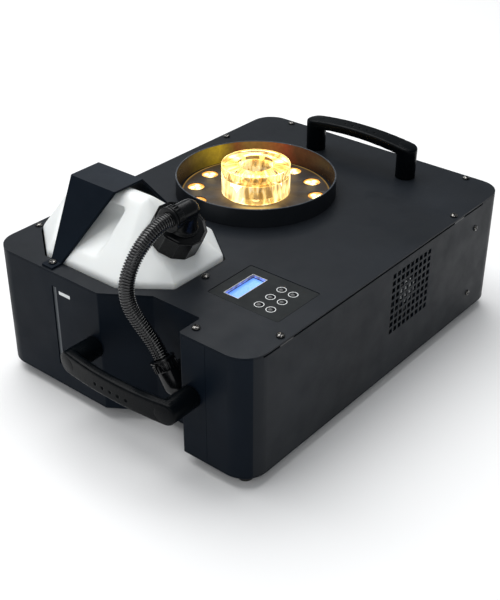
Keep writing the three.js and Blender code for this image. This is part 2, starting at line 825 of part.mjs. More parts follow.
function addTank() {
  addPiece("tank", makeTank(), milkyPlastic);
  addPiece("tank_cap", makeCap(), blackPlastic);
  addPiece("dip_tube", makeDipTube(), milkyPlastic);
  const roof = capSkirtGap + capHeight;
  const capElbow = shapeOf(elbowBody(capRoof + 6)).translate(0, 0, roof);
  addPiece("cap_elbow", onNeck(capElbow), glossBlackPlastic);
  addPiece("tank_hose", makeHose(), glossBlackPlastic);
  const notchElbow = shapeOf(elbowBody(notchStem));
  notchElbow.rotateY(-Math.PI / 2);
  notchElbow.rotateX(Math.PI - notchElbowTurn);
  notchElbow.translate(notchDepth, notchElbowY, notchElbowZ);
  addPiece("notch_elbow", notchElbow, glossBlackPlastic);
  addPiece("tank_bracket", makeBracket(), blackPaint);
}

// ---------------------------------------------------------------- light and fog outlet

function ledPlaces() {
  return Array.from({ length: ledCount }, (_, index) => {
    const angle = (2 * Math.PI * index) / ledCount;
    return point2(lightX + ledCircle * Math.cos(angle), lightY + ledCircle * Math.sin(angle));
  });
}

function makeLightRing() {
  const top = ring.flangeTop;
  const bottom = top - ringFlangeSheet;
  return lathe(
    [
      [ringInner - ringLip, bottom],
      [ringRadius + ringFlange, bottom],
      [ringRadius + ringFlange, top],
      [ringRadius, top],
      [ringRadius, ring.top],
      [ringInner, ring.top],
      [ringInner, top],
      [ringInner - ringLip, top],
    ],
    48,
  ).translate(lightX, lightY, 0);
}

function makeLightFloor() {
  const holes = ledPlaces().map(({ x, y }) => circlePoints(x, y, ledHole, 12));
  holes.push(circlePoints(lightX, lightY, nozzleRadius + 2, 16));
  const disc = circlePoints(lightX, lightY, floorRadius, 48);
  return plate(disc, floorSheet, ring.flangeTop + gap, holes);
}

function makeLensArray() {
  const top = ring.flangeTop - ringFlangeSheet - gap;
  const floor = top - lensHeight;
  const outer = circlePoints(lightX, lightY, ledCircle + lensBand / 2, 36);
  const inner = circlePoints(lightX, lightY, ledCircle - lensBand, 36);
  const carrier = solid(plate(outer, lensPlateThickness, floor, [inner]));
  const tip = ring.flangeTop + gap + floorSheet * 0.4;
  const lenses = ledPlaces().map(({ x, y }) => rod(x, y, floor + 0.5, tip, 5.5, 10, ledHole - 1));
  return shapeOf(joined([carrier, ...lenses]));
}

function makeLedBoard() {
  const z = ring.flangeTop - ringFlangeSheet - gap - lensHeight - gap - ledBoardThickness;
  const outer = circlePoints(lightX, lightY, floorRadius - 3, 36);
  const inner = circlePoints(lightX, lightY, nozzleRadius + 8, 20);
  return plate(outer, ledBoardThickness, z, [inner]);
}

function makeDiffuser() {
  const base = ring.flangeTop + gap + floorSheet + gap;
  const top = base + diffuserHeight;
  const edge = 0.8;
  return lathe(
    [
      [diffuserBore, base],
      [diffuserRadius, base],
      [diffuserRadius, top - edge],
      [diffuserRadius - edge, top],
      [diffuserBore + edge, top],
      [diffuserBore, top - edge],
    ],
    40,
  ).translate(lightX, lightY, 0);
}

function makeNozzle() {
  const base = heater.z1 + gap;
  const seat = ring.flangeTop;
  return lathe(
    [
      [nozzleBore, base],
      [nozzleRadius + 3, base],
      [nozzleRadius + 3, base + 8],
      [nozzleRadius - 2, base + 8],
      [nozzleRadius - 2, seat - 12],
      [nozzleRadius, seat - 12],
      [nozzleRadius, caseHeight + nozzleStandOut - 4],
      [nozzleRadius - 3, caseHeight + nozzleStandOut],
      [nozzleBore, caseHeight + nozzleStandOut],
    ],
    20,
  ).translate(lightX, lightY, 0);
}

function makeHeaterBlock() {
  const { x0, x1, y0, y1, z0, z1 } = heater;
  const section = outlinePoints(
    [
      { x: y0, y: z0, r: 6 },
      { x: y1, y: z0, r: 6 },
      { x: y1, y: z1, r: 6 },
      { x: y0, y: z1, r: 6 },
    ],
    3,
  );
  const length = x1 - x0;
  const bar = acrossX(plate(section, length, 0)).translate(x0, 0, 0);
  const grooves = [];
  for (let x = x0 + 20; x < x1 - 10; x += 20) {
    grooves.push(block(x, x + 4, y0 - 1, y0 + 3, z0 - 1, z1 + 1));
    grooves.push(block(x, x + 4, y1 - 3, y1 + 1, z0 - 1, z1 + 1));
  }
  return shapeOf(without(solid(bar), grooves));
}

function makeHeaterCover() {
  const { x0, x1, y0, y1, z1 } = heater;
  const space = heaterCoverClearance;
  const top = z1 + space;
  const foot = wallBottom;
  const outline = [
    [y0 - space - 10, foot],
    [y0 - space, foot],
    [y0 - space, top],
    [y1 + space, top],
    [y1 + space, foot],
    [y1 + space + 10, foot],
    [y1 + space + 10, foot + 1],
    [y1 + space + 1, foot + 1],
    [y1 + space + 1, top + 1],
    [y0 - space - 1, top + 1],
    [y0 - space - 1, foot + 1],
    [y0 - space - 10, foot + 1],
  ].map(([y, z]) => point2(y, z));
  const channel = acrossX(plate(outline, x1 - x0 + 2 * space, 0)).translate(x0 - space, 0, 0);
  const pipeHole = rod(lightX, lightY, top - 2, top + 4, nozzleRadius + 1, 20);
  return shapeOf(solid(channel).subtract(pipeHole));
}

function addLightAndHeater() {
  addPiece("light_ring", makeLightRing(), warmReflector);
  addPiece("light_floor", makeLightFloor(), warmReflector);
  addPiece("lens_array", makeLensArray(), lensPlastic);
  addPiece("led_board", makeLedBoard(), circuitGreen);
  addPiece("diffuser_ring", makeDiffuser(), clearAcrylic);
  addPiece("nozzle", makeNozzle(), brass);
  addPiece("heater_block", makeHeaterBlock(), castAluminium);
  addPiece("heater_cover", makeHeaterCover(), galvanised);
  const thermostatX = (lightX + heater.x1) / 2;
  const thermostat = rod(thermostatX, lightY, heater.z1 + gap, heater.z1 + 8, 8, 20, 7);
  addPiece("thermostat", shapeOf(thermostat), glossBlackPlastic);
}

// ---------------------------------------------------------------- pump and pipes

function makePumpBody() {
  const half = pumpLength / 2;
  const inletEnd = pumpX - half;
  const outletEnd = pumpX + half;
  return shapeOf(
    joined([
      barX(inletEnd, outletEnd, pumpY, pumpZ, pumpRadius, 16),
      barX(inletEnd - pumpSpigot, inletEnd + 1, pumpY, pumpZ, 4, 12),
      barX(outletEnd - 1, outletEnd + pumpSpigot, pumpY, pumpZ, 4, 12),
      barX(outletEnd - 16, outletEnd - 4, pumpY, pumpZ, pumpRadius + 3, 6),
    ]),
  );
}

function makePumpCoil() {
  const half = coilLength / 2;
  const size = coilSize / 2;
  const body = block(pumpX - half, pumpX + half, pumpY - size, pumpY + size, pumpZ - size, pumpZ + size);
  const waist = joined([
    block(pumpX - half + 5, pumpX + half - 5, pumpY - size - 1, pumpY - size + 3, 0, 200),
    block(pumpX - half + 5, pumpX + half - 5, pumpY + size - 3, pumpY + size + 1, 0, 200),
  ]);
  const bore = barX(pumpX - half - 1, pumpX + half + 1, pumpY, pumpZ, pumpRadius + gap, 16);
  return shapeOf(without(body, [waist, bore]));
}

function makePumpBracket() {
  const size = coilSize / 2 + gap;
  const base = wallBottom;
  const half = coilLength / 2 + 12;
  const plateTop = pumpZ - size;
  return shapeOf(
    joined([
      block(pumpX - half, pumpX + half, pumpY - size, pumpY + size, base, base + sheet),
      block(pumpX - half, pumpX - half + sheet, pumpY - size, pumpY + size, base, plateTop),
      block(pumpX + half - sheet, pumpX + half, pumpY - size, pumpY + size, base, plateTop),
      block(pumpX - half, pumpX + half, pumpY - size, pumpY + size, plateTop - sheet, plateTop),
    ]),
  );
}

function addPump() {
  addPiece("pump_body", makePumpBody(), brass);
  addPiece("pump_coil", makePumpCoil(), glossBlackPlastic);
  addPiece("pump_bracket", makePumpBracket(), galvanised);
  const inletX = pumpX - pumpLength / 2 - pumpSpigot;
  const outletX = pumpX + pumpLength / 2 + pumpSpigot;
  const stemEnd = notchDepth + notchStem;
  const suction = [
    [stemEnd + gap, notchElbowY, notchElbowZ],
    [stemEnd + 7, notchElbowY, notchElbowZ],
    [stemEnd + 13, notchElbowY - 11, notchElbowZ - 9],
    [stemEnd + 4, notchElbowY - 27, notchElbowZ - 21],
    [inletX - 16, pumpY + 11, pumpZ + 3],
    [inletX - 14, pumpY + 1, pumpZ],
    [inletX - gap, pumpY, pumpZ],
  ];
  addPiece("suction_hose", tubeAlong(suction, 4, 8, 20), milkyPlastic);
  const pipe = [
    [outletX + gap, pumpY, pumpZ],
    [outletX + 4, pumpY, pumpZ],
    [outletX + 9, pumpY + 14, pumpZ + 4],
    [outletX + 9, (pumpY + lightY) / 2, pumpZ + 10],
    [outletX + 9, lightY - 16, pumpZ + 18],
    [heater.x0 - 10, lightY, pumpZ + 19],
    [heater.x0 - gap, lightY, pumpZ + 19],
  ];
  addPiece("fluid_pipe", tubeAlong(pipe, pipeRadius, 8, 24), copperColour);
}

// ---------------------------------------------------------------- controls and boards

function makePanel() {
  const { x0, x1, y0, y1 } = displayWindow;
  const window = [point2(x0, y0), point2(x1, y0), point2(x1, y1), point2(x0, y1)];
  const holes = [window];
  buttonColumns.forEach((x) => {
    buttonRows.forEach((y) => holes.push(circlePoints(x, y, buttonRadius + gap, 16)));
  });
  const top = caseHeight - gap;
  return plate(outlinePoints(panelCorners(gap), 3), panelSheet, top - panelSheet, holes);
}

const controlBoardTop = caseHeight - controlBoardDrop;

function addControls() {
  addPiece("control_panel", makePanel(), panelInk);
  const { x0, x1, y0, y1 } = displayWindow;
  const glassTop = caseHeight - gap - panelSheet - gap;
  const b = displayBorder;
  const display = block(x0 - b, x1 + b, y0 - b, y1 + b, glassTop - displayDepth, glassTop);
  addPiece("display", shapeOf(display), displayBlue);
  const underside = controlBoardTop - boardThickness;
  const board = block(panel.x0 + 2, panel.x1 - 2, panel.y0 + 2, panel.y1 - 2, underside, controlBoardTop);
  addPiece("control_board", shapeOf(board), circuitGreen);
  const stemTop = caseHeight + buttonStandOut;
  const flange = glassTop - 1.2;
  const button = joined([
    rod(0, 0, flange, stemTop, buttonRadius, 12, buttonRadius - 0.3),
    rod(0, 0, flange - 1, flange + 0.2, buttonRadius + 1, 12),
    rod(0, 0, stemTop - buttonStem, flange, 1.6, 8),
  ]);
  const shape = shapeOf(button);
  let number = 0;
  buttonRows.forEach((y) => {
    buttonColumns.forEach((x) => {
      number += 1;
      addPiece(`button_${number}`, shape, panelInk).position.set(x, y, 0);
    });
  });
}

function makePowerBoard() {
  const { x0, x1, y0, y1, z } = powerBoard;
  const top = z + boardThickness;
  return shapeOf(
    joined([
      block(x0, x1, y0, y1, z, top),
      block(x0 + 8, x0 + 46, y0 + 10, y0 + 48, top - 0.5, top + 30),
      rod(x0 + 64, y0 + 22, top - 0.5, top + 28, 9, 16),
      rod(x0 + 64, y0 + 46, top - 0.5, top + 28, 9, 16),
      block(x0 + 12, x0 + 30, y0 + 58, y0 + 78, top - 0.5, top + 16),
      block(x0 + 40, x1 - 10, y0 + 62, y0 + 68, top - 0.5, top + 34),
      rod(x0 + 8, y0 + 5, wallBottom, z + 0.5, 3, 8),
      rod(x1 - 5, y0 + 5, wallBottom, z + 0.5, 3, 8),
      rod(x0 + 8, y1 - 5, wallBottom, z + 0.5, 3, 8),
      rod(x1 - 5, y1 - 5, wallBottom, z + 0.5, 3, 8),
    ]),
  );
}

// ---------------------------------------------------------------- fan

const fanFront = sheet + gap;

function makeFanFrame() {
  const half = fanSize / 2;
  const y1 = fanFront + fanDepth;
  const square = outlinePoints(
    [
      { x: fanX - half, y: fanZ - half, r: fanCorner },
      { x: fanX + half, y: fanZ - half, r: fanCorner },
      { x: fanX + half, y: fanZ + half, r: fanCorner },
      { x: fanX - half, y: fanZ + half, r: fanCorner },
    ],
    3,
  );
  const bore = circlePoints(fanX, fanZ, fanBore, 32);
  const spacing = half - fanScrewInset;
  const screwHoles = [-1, 1].flatMap((i) =>
    [-1, 1].map((j) => circlePoints(fanX + i * spacing, fanZ + j * spacing, fanScrewHole, 10)),
  );
  const frame = plate(square, fanDepth, 0, [bore, ...screwHoles]).rotateX(Math.PI / 2);
  frame.translate(0, y1, 0);
  const hub = barY(y1 - fanBack, y1, fanX, fanZ, fanHub + 1, 20);
  const struts = [0, 1, 2, 3].map((index) => {
    const strut = new THREE.BoxGeometry(fanBore - fanHub + fanStrutWidth, fanBack, fanStrutWidth);
    strut.translate((fanBore + fanHub) / 2, 0, 0);
    turned(strut, new THREE.Vector3(0, 1, 0), (index + 0.5) * (Math.PI / 2));
    return solid(strut.translate(fanX, y1 - fanBack / 2, fanZ));
  });
  return shapeOf(joined([solid(frame), hub, ...struts]));
}

function makeFanRotor() {
  const y0 = fanFront + fanRotorSetback;
  const y1 = fanFront + fanDepth - fanBack - running;
  const hub = barY(y0, y1, 0, 0, fanHub, 20);
  const bladeTip = fanBore - fanTipGap;
  const blades = Array.from({ length: fanBlades }, (_, index) => {
    const blade = new THREE.BoxGeometry(bladeTip - fanHub + 1, fanBladeSheet, fanBladeChord);
    turned(blade, new THREE.Vector3(1, 0, 0), fanBladePitch);
    blade.translate((bladeTip + fanHub) / 2 - 0.5, (y0 + y1) / 2, 0);
    turned(blade, new THREE.Vector3(0, 1, 0), (2 * Math.PI * index) / fanBlades);
    return solid(blade);
  });
  const reach = barY(y0 + 0.2, y1 - 0.2, 0, 0, bladeTip, 32);
  return shapeOf(joined([hub, ...blades]).intersect(reach));
}

function addFan() {
  addPiece("fan_frame", makeFanFrame(), glossBlackPlastic);
  addPiece("fan_rotor", makeFanRotor(), glossBlackPlastic).position.set(fanX, 0, fanZ);
}

// ---------------------------------------------------------------- rear sockets and switch

function makeInlet() {
  const x = caseLength;
  const { y, z, width, height, socketWidth, socketHeight, depth } = inlet;
  const face = x + gap + rearFlange;
  const flange = block(x + gap, face, y - width / 2, y + width / 2, z - height / 2, z + height / 2);
  const wall = 1.7;
  const body = block(
    x - depth,
    x + gap + 1,
    y - socketWidth / 2 - wall,
    y + socketWidth / 2 + wall,
    z - socketHeight / 2 - wall,
    z + socketHeight / 2 + wall,
  );
  const recess = block(
    x - depth + 6,
    x + 10,
    y - socketWidth / 2,
    y + socketWidth / 2,
    z - socketHeight / 2,
    z + socketHeight / 2,
  );
  const pins = [-7, 0, 7].map((offset) => {
    const across = offset === 0 ? -3 : 3;
    const low = z + offset - 1;
    return block(x - depth + 5, x - 4, y + across - 2, y + across + 2, low, low + 2);
  });
  const holes = [-1, 1].map((side) =>
    barX(x - 1, x + 10, y, z + side * (height / 2 - 5), 1.8, 10),
  );
  return shapeOf(joined([without(flange.add(body), [recess, ...holes]), ...pins]));
}

function makeSwitchFrame() {
  const { y, z, width, height, bezel } = rocker;
  const x = caseLength;
  const flange = block(
    x + gap,
    x + gap + 1.6,
    y - width / 2 - bezel,
    y + width / 2 + bezel,
    z - height / 2 - bezel,
    z + height / 2 + bezel,
  );
  const wall = bezel / 2 - gap;
  const body = block(
    x - 18,
    x + gap + 1,
    y - width / 2 - wall,
    y + width / 2 + wall,
    z - height / 2 - wall,
    z + height / 2 + wall,
  );
  const hollow = block(x - 12, x + 10, y - width / 2, y + width / 2, z - height / 2, z + height / 2);
  return shapeOf(flange.add(body).subtract(hollow));
}

// Drawn about its pivot, then tipped to the off position.
function makeRocker() {
  const { y, z, width, height, swing } = rocker;
  const half = height / 2 - running * 1.4;
  const rise = 3.4;
  const section = [
    point2(rise - 1.6, 0),
    point2(rise, half),
    point2(-3, half - 1.4),
    point2(-6, 3),
    point2(-6, -3),
    point2(-3, -half + 1.4),
    point2(rise, -half),
  ];
  const body = plate(section, width - 2 * running, -(width / 2 - running));
  body.rotateX(Math.PI / 2);
  turned(body, new THREE.Vector3(0, 1, 0), THREE.MathUtils.degToRad(swing));
  return body.translate(caseLength - 1.6, y, z);
}

function makeDmxSocket(y) {
  const x = caseLength;
  const { z, width, height, radius, depth } = dmx;
  const flange = block(x + gap, x + gap + 1.8, y - width / 2, y + width / 2, z - height / 2, z + height / 2);
  const body = barX(x - depth, x + gap + 1, y, z, radius, 16);
  const recess = barX(x - depth + 5, x + 10, y, z, radius - 2, 16);
  const holes = [-1, 1].map((side) =>
    barX(x - 1, x + 10, y + side * (width / 2 - 3), z + side * (height / 2 - 3.5), 1.6, 8),
  );
  const pins = [
    [0, 3.5],
    [-3.5, -2],
    [3.5, -2],
  ].map(([across, up]) => barX(x - depth + 4, x - 6, y + across, z + up, 1.2, 8));
  return shapeOf(joined([without(flange.add(body), [recess, ...holes]), ...pins]));
}

function addRear() {
  addPiece("mains_inlet", makeInlet(), glossBlackPlastic);
  addPiece("switch_frame", makeSwitchFrame(), glossBlackPlastic);
  addPiece("switch_rocker", makeRocker(), blackPlastic);
  addPiece("dmx_in", makeDmxSocket(dmx.y[0]), glossBlackPlastic);
  addPiece("dmx_out", makeDmxSocket(dmx.y[1]), glossBlackPlastic);
  addPiece("power_board", makePowerBoard(), circuitGreen);
}

// ---------------------------------------------------------------- handles

// A bow handle on two round posts: its length along Y, its rise along +Z, its width along X.
function makeHandle() {
  const half = handleLength / 2 - handleBevel;
  const end = handleEnd - handleBevel;
  const apex = handleApex - handleBevel;
  const core = handleThickness - 2 * handleBevel;
  const bow = (fromY, toY, endHeight, midHeight, steps) =>
    Array.from({ length: steps + 1 }, (_, step) => {
      const t = step / steps;
      const rise = 1 - (2 * t - 1) ** 2;
      return point2(fromY + (toY - fromY) * t, endHeight + (midHeight - endHeight) * rise);
    });
  const outline = [
    ...bow(-half, half, end - core, apex - core, 8),
    ...bow(half, -half, end, apex, 8),
  ];
  const grip = new THREE.ExtrudeGeometry(new THREE.Shape(outline), {
    depth: handleWidth - 2 * handleBevel,
    bevelEnabled: true,
    bevelThickness: handleBevel,
    bevelSize: handleBevel,
    bevelSegments: 1,
  });
  grip.translate(0, 0, -(handleWidth - 2 * handleBevel) / 2);
  const postTop = handleEnd - handleThickness / 2;
  const posts = [-1, 1].map((side) => rod(0, (side * handleSpacing) / 2, 0, postTop, handlePostRadius, 16));
  return joined([solid(acrossX(grip)), ...posts]);
}

function addHandles() {
  const handle = shapeOf(makeHandle());
  addPiece("top_handle", handle, blackPlastic).position.set(topHandleX, topHandleY, caseHeight + gap);
  const front = addPiece("front_handle", handle, blackPlastic);
  front.rotation.set(0, -Math.PI / 2, 0);
  front.position.set(-gap, frontHandleY, frontHandleZ);
}

addCase();
addScrews();
addTank();
addLightAndHeater();
addPump();
addControls();
addFan();
addRear();
addHandles();

export default machine;
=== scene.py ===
"""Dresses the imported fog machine: each visible piece is modelled or finished here, around its frame."""
import contextlib
import math

import bmesh
import bpy
from bpy.props import FloatProperty, FloatVectorProperty, IntProperty, PointerProperty
from bpy.types import Operator, Panel, PropertyGroup
from mathutils import Matrix, Vector


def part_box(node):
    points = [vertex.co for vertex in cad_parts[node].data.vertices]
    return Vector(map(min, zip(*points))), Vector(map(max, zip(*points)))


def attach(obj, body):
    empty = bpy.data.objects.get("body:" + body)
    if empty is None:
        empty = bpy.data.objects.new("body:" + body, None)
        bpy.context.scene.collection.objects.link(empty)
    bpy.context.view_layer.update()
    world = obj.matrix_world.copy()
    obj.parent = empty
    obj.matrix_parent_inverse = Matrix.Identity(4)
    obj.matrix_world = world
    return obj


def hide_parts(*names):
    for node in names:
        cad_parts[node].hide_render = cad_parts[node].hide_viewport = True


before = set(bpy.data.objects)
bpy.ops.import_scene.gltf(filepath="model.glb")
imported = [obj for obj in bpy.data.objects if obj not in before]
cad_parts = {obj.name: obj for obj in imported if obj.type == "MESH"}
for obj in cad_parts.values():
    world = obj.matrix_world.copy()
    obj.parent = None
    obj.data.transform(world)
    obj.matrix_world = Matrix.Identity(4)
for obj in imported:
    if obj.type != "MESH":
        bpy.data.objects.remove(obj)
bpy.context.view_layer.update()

bl_info = {
    "name": "Fog Machine Dressing",
    "version": (1, 0, 0),
    "blender": (4, 5, 0),
    "location": "View3D > Sidebar > Fog Machine",
    "description": "Models the visible pieces of a fog machine with a light ring around its CAD frame",
    "category": "Object",
}

MM = 0.001
X_AXIS = Vector((1, 0, 0))

# The drawing's origin: the corner of the case between the notched end and the fan side.
ORIGIN = Vector((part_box("top_cover")[0].x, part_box("top_cover")[0].y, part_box("bottom_tray")[0].z))
CASE_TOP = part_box("top_cover")[1].z
CASE_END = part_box("top_cover")[1].x
SEAT_DEPTH = 1.8 * MM  # from the cover's face down through its sheet and the gap below it


def at(x, y, z):
    """A point of the drawing, in millimetres, as a point of the frame."""
    return ORIGIN + Vector((x, y, z)) * MM


def middle(node):
    low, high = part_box(node)
    return (low + high) / 2


def footprint(node):
    """The middle of a CAD piece, brought down to the ground."""
    centre = middle(node)
    return Vector((centre.x, centre.y, 0))


def millimetres(*points):
    return [tuple(value * MM for value in point) for point in points]


# The tank's neck, and the cap that screws onto it.
NECK_SPOT = at(85, 162.4, 155.6)
NECK_TILT = math.radians(30)
NECK_TURN = Matrix.Translation(NECK_SPOT) @ Matrix.Rotation(NECK_TILT, 4, "X")
CAP_ROOF = 23.1 * MM
CAP_PHASE = 0.2036  # how far the cap's facets are turned, in radians

# The lamps in the floor of the light ring, and the two stacked rings of acrylic at its middle.
LAMPS = 12
LAMP_CIRCLE = 65 * MM
ACRYLIC_OUTER = 36.5 * MM
ACRYLIC_BORE = 19.5 * MM
ACRYLIC_JOINT = 0.66  # height of the joint between the two rings, as a share of both
# The floor of the ring carries a painted glow, brightest in one sector
FLOOR_GLOW_PEAK = 0.11  # where the floor of the ring is brightest, as a share of a turn from -180 degrees

# The bow of a handle's grip, which stands on the XY plane with its length along Y.
GRIP_END = 60.5 * MM
GRIP_RADIUS = 11.2 * MM
GRIP_THICKNESS = 9.4 * MM
BOW_HALF = 72 * MM
BOW_FOOT = 29.6  # millimetres from the plane to the grip's middle at the ends of the bow
BOW_RISE = 6.4  # millimetres more at its centre

HOSE_RADIUS = 7.25 * MM
SHEET_ANGLE = 50  # degrees: sheet edges sharper than this are rounded, and flatter ones are shaded smooth


# ------------------------------------------------------------------ sizes and colours


class FogSizes(PropertyGroup):
    edge: FloatProperty(name="Sheet edge", description="Rounding of the sheet edges",
                        default=0.0004, unit="LENGTH")
    hose_pitch: FloatProperty(name="Hose pitch", description="Distance between the hose's rings",
                              default=0.0025, unit="LENGTH")
    hose_depth: FloatProperty(name="Hose depth", description="Depth of the grooves between rings",
                              default=0.0013, unit="LENGTH")
    tank_voxel: FloatProperty(name="Tank rounding", description="Grain of the tank's rounded skin",
                              default=0.0016, unit="LENGTH")
    handle_voxel: FloatProperty(name="Handle rounding", description="Grain of the handles' rounded skin",
                                default=0.0011, unit="LENGTH")
    round_steps: IntProperty(name="Round steps", description="Sides of the large turned pieces",
                             default=128, min=24)


class FogColours(PropertyGroup):
    paint: FloatVectorProperty(name="Paint", description="Powder coat of the case", subtype="COLOR",
                               default=(0.0112, 0.0136, 0.0172))
    # The side paint is a darker, bluer copy of the case paint: a painted shade, used on the tank-end shell,
    # the bracket's legs and the sheet faces turned to -X
    side_painted_shade: FloatVectorProperty(name="Side paint", description="Powder coat of the ends",
                                    subtype="COLOR", default=(0.0046, 0.0078, 0.0130))
    plastic: FloatVectorProperty(name="Plastic", description="Black mouldings", subtype="COLOR",
                                 default=(0.0030, 0.0036, 0.0044))
    tank: FloatVectorProperty(name="Tank", description="Blow-moulded tank", subtype="COLOR",
                              default=(0.80, 0.82, 0.81))
    ink: FloatVectorProperty(name="Ink", description="White screen print", subtype="COLOR",
                             default=(0.78, 0.80, 0.80))
    lamp: FloatVectorProperty(name="Lamp", description="Warm light of the ring", subtype="COLOR",
                              default=(1.0, 0.70, 0.24))
    screen: FloatVectorProperty(name="Screen", description="Backlight of the display", subtype="COLOR",
                                default=(0.10, 0.24, 0.80))


def sizes():
    return bpy.context.scene.fog_sizes


def colours():
    return bpy.context.scene.fog_colours


# ------------------------------------------------------------------ modelling helpers


def only(*objects):
    bpy.ops.object.select_all(action="DESELECT")
    for each in objects:
        each.select_set(True)
    bpy.context.view_layer.objects.active = objects[0]


@contextlib.contextmanager
def editing(piece, select="SELECT"):
    only(piece)
    bpy.ops.object.mode_set(mode="EDIT")
    bpy.ops.mesh.select_all(action=select)
    yield bmesh.from_edit_mesh(piece.data)
    bpy.ops.object.mode_set(mode="OBJECT")


def select_faces(piece, test):
    """Selects the faces whose middle and normal pass the test, in edit mode."""
    mesh = bmesh.from_edit_mesh(piece.data)
    for face in mesh.faces:
        face.select_set(test(face.calc_center_median(), face.normal))
    mesh.select_flush_mode()
    bmesh.update_edit_mesh(piece.data)


def modify(piece, kind, **settings):
    modifier = piece.modifiers.new(kind, kind)
    for key, value in settings.items():
        setattr(modifier, key, value)
    only(piece)
    bpy.ops.object.modifier_apply(modifier=modifier.name)
    return piece


def round_edges(piece, width, segments=2, angle=30):
    return modify(piece, "BEVEL", width=width, segments=segments, limit_method="ANGLE",
                  angle_limit=math.radians(angle))


def strip_edges(piece, width, segments=2, angle=SHEET_ANGLE):
    """Rounds the edges in strips that take the piece's second material."""
    return modify(piece, "BEVEL", width=width, segments=segments, limit_method="ANGLE",
                  angle_limit=math.radians(angle), material=1)


def merge_lumps(piece, voxel, passes):
    """Melts overlapping solids into one rounded skin."""
    modify(piece, "REMESH", mode="VOXEL", voxel_size=voxel, use_smooth_shade=True)
    return modify(piece, "SMOOTH", factor=0.5, iterations=passes)


def rename(piece, name):
    piece.name = name
    piece.data.name = name
    return piece


def added_cylinder(name, radius, depth, centre, sides=48, turn=(0, 0, 0)):
    bpy.ops.mesh.primitive_cylinder_add(vertices=sides, radius=radius, depth=depth,
                                        location=centre, rotation=turn)
    return rename(bpy.context.object, name)


def added_box(name, low, high):
    bpy.ops.mesh.primitive_cube_add(size=1, location=(Vector(low) + Vector(high)) / 2)
    piece = rename(bpy.context.object, name)
    piece.scale = Vector(high) - Vector(low)
    settle_place(piece)
    return piece


def settle_place(piece):
    only(piece)
    bpy.ops.object.transform_apply(location=True, rotation=True, scale=True)
    return piece


def copied(piece, name, matrix=None):
    twin = piece.copy()
    twin.data = piece.data.copy()
    bpy.context.scene.collection.objects.link(twin)
    rename(twin, name)
    if matrix is not None:
        twin.data.transform(matrix)
    return twin


def joined(pieces, name):
    for piece in pieces:
        settle_place(piece)
    only(*pieces)
    bpy.ops.object.join()
    return rename(bpy.context.object, name)


def cut(piece, cutter):
    settle_place(piece)
    settle_place(cutter)
    modify(piece, "BOOLEAN", object=cutter, operation="DIFFERENCE", solver="EXACT")
    bpy.data.objects.remove(cutter)
    return piece


def turns(count):
    """Angles spread evenly over a full turn."""
    return [2 * math.pi * index / count for index in range(count)]


def dome(radius, foot, rise, steps):
    """Points of a quarter ellipse, from its rim at a height up to its middle."""
    angles = [math.pi / 2 * step / steps for step in range(steps + 1)]
    return [(radius * math.cos(angle), foot + rise * math.sin(angle)) for angle in angles]


def revolve(name, profile, centre=(0, 0, 0), steps=64, closed=False):
    """Spins a profile of (radius, height) points about an upright axis through centre."""
    points = [(radius, 0, height) for radius, height in profile]
    links = [(index, index + 1) for index in range(len(points) - 1)]
    if closed:
        links.append((len(points) - 1, 0))
    mesh = bpy.data.meshes.new(name)
    mesh.from_pydata(points, links, [])
    piece = bpy.data.objects.new(name, mesh)
    bpy.context.scene.collection.objects.link(piece)
    with editing(piece):
        bpy.ops.mesh.spin(steps=steps, angle=2 * math.pi, center=(0, 0, 0), axis=(0, 0, 1))
        bpy.ops.mesh.select_all(action="SELECT")
        bpy.ops.mesh.remove_doubles(threshold=1e-6)
        bpy.ops.mesh.select_all(action="SELECT")
        bpy.ops.mesh.normals_make_consistent(inside=False)
    piece.location = centre
    return settle_place(piece)


def cad_copy(node, name, edge=0.0):
    """A copy of a CAD piece with its faces merged and, where a width is given, its edges rounded."""
    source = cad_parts[node]
    piece = source.copy()
    piece.data = source.data.copy()
    piece.parent = None
    for key in list(piece.keys()):
        del piece[key]
    bpy.context.scene.collection.objects.link(piece)
    rename(piece, name)
    piece.data.materials.clear()
    with editing(piece):
        bpy.ops.mesh.remove_doubles(threshold=2e-6)
        bpy.ops.mesh.select_all(action="SELECT")
        bpy.ops.mesh.dissolve_limited(angle_limit=math.radians(0.6))
    if edge:
        round_edges(piece, edge)
    return piece


def finish_piece(piece, body, materials, replaces=(), smooth=32, flat=False):
    """Places, shades and paints a finished piece, and hangs it on its body."""
    settle_place(piece)
    only(piece)
    bpy.ops.object.shade_smooth_by_angle(angle=math.radians(smooth))
    if flat:
        modify(piece, "WEIGHTED_NORMAL", mode="FACE_AREA", weight=50, keep_sharp=True)
    if materials:
        keep = [polygon.material_index for polygon in piece.data.polygons]
        piece.data.materials.clear()
        for material in materials:
            piece.data.materials.append(material)
        for polygon, index in zip(piece.data.polygons, keep):
            polygon.material_index = min(index, len(materials) - 1)
    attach(piece, body)
    if replaces:
        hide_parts(*replaces)
    return piece


def paint_faces(piece, index, test):
    for polygon in piece.data.polygons:
        if test(polygon.center, polygon.normal):
            polygon.material_index = index


# ------------------------------------------------------------------ materials


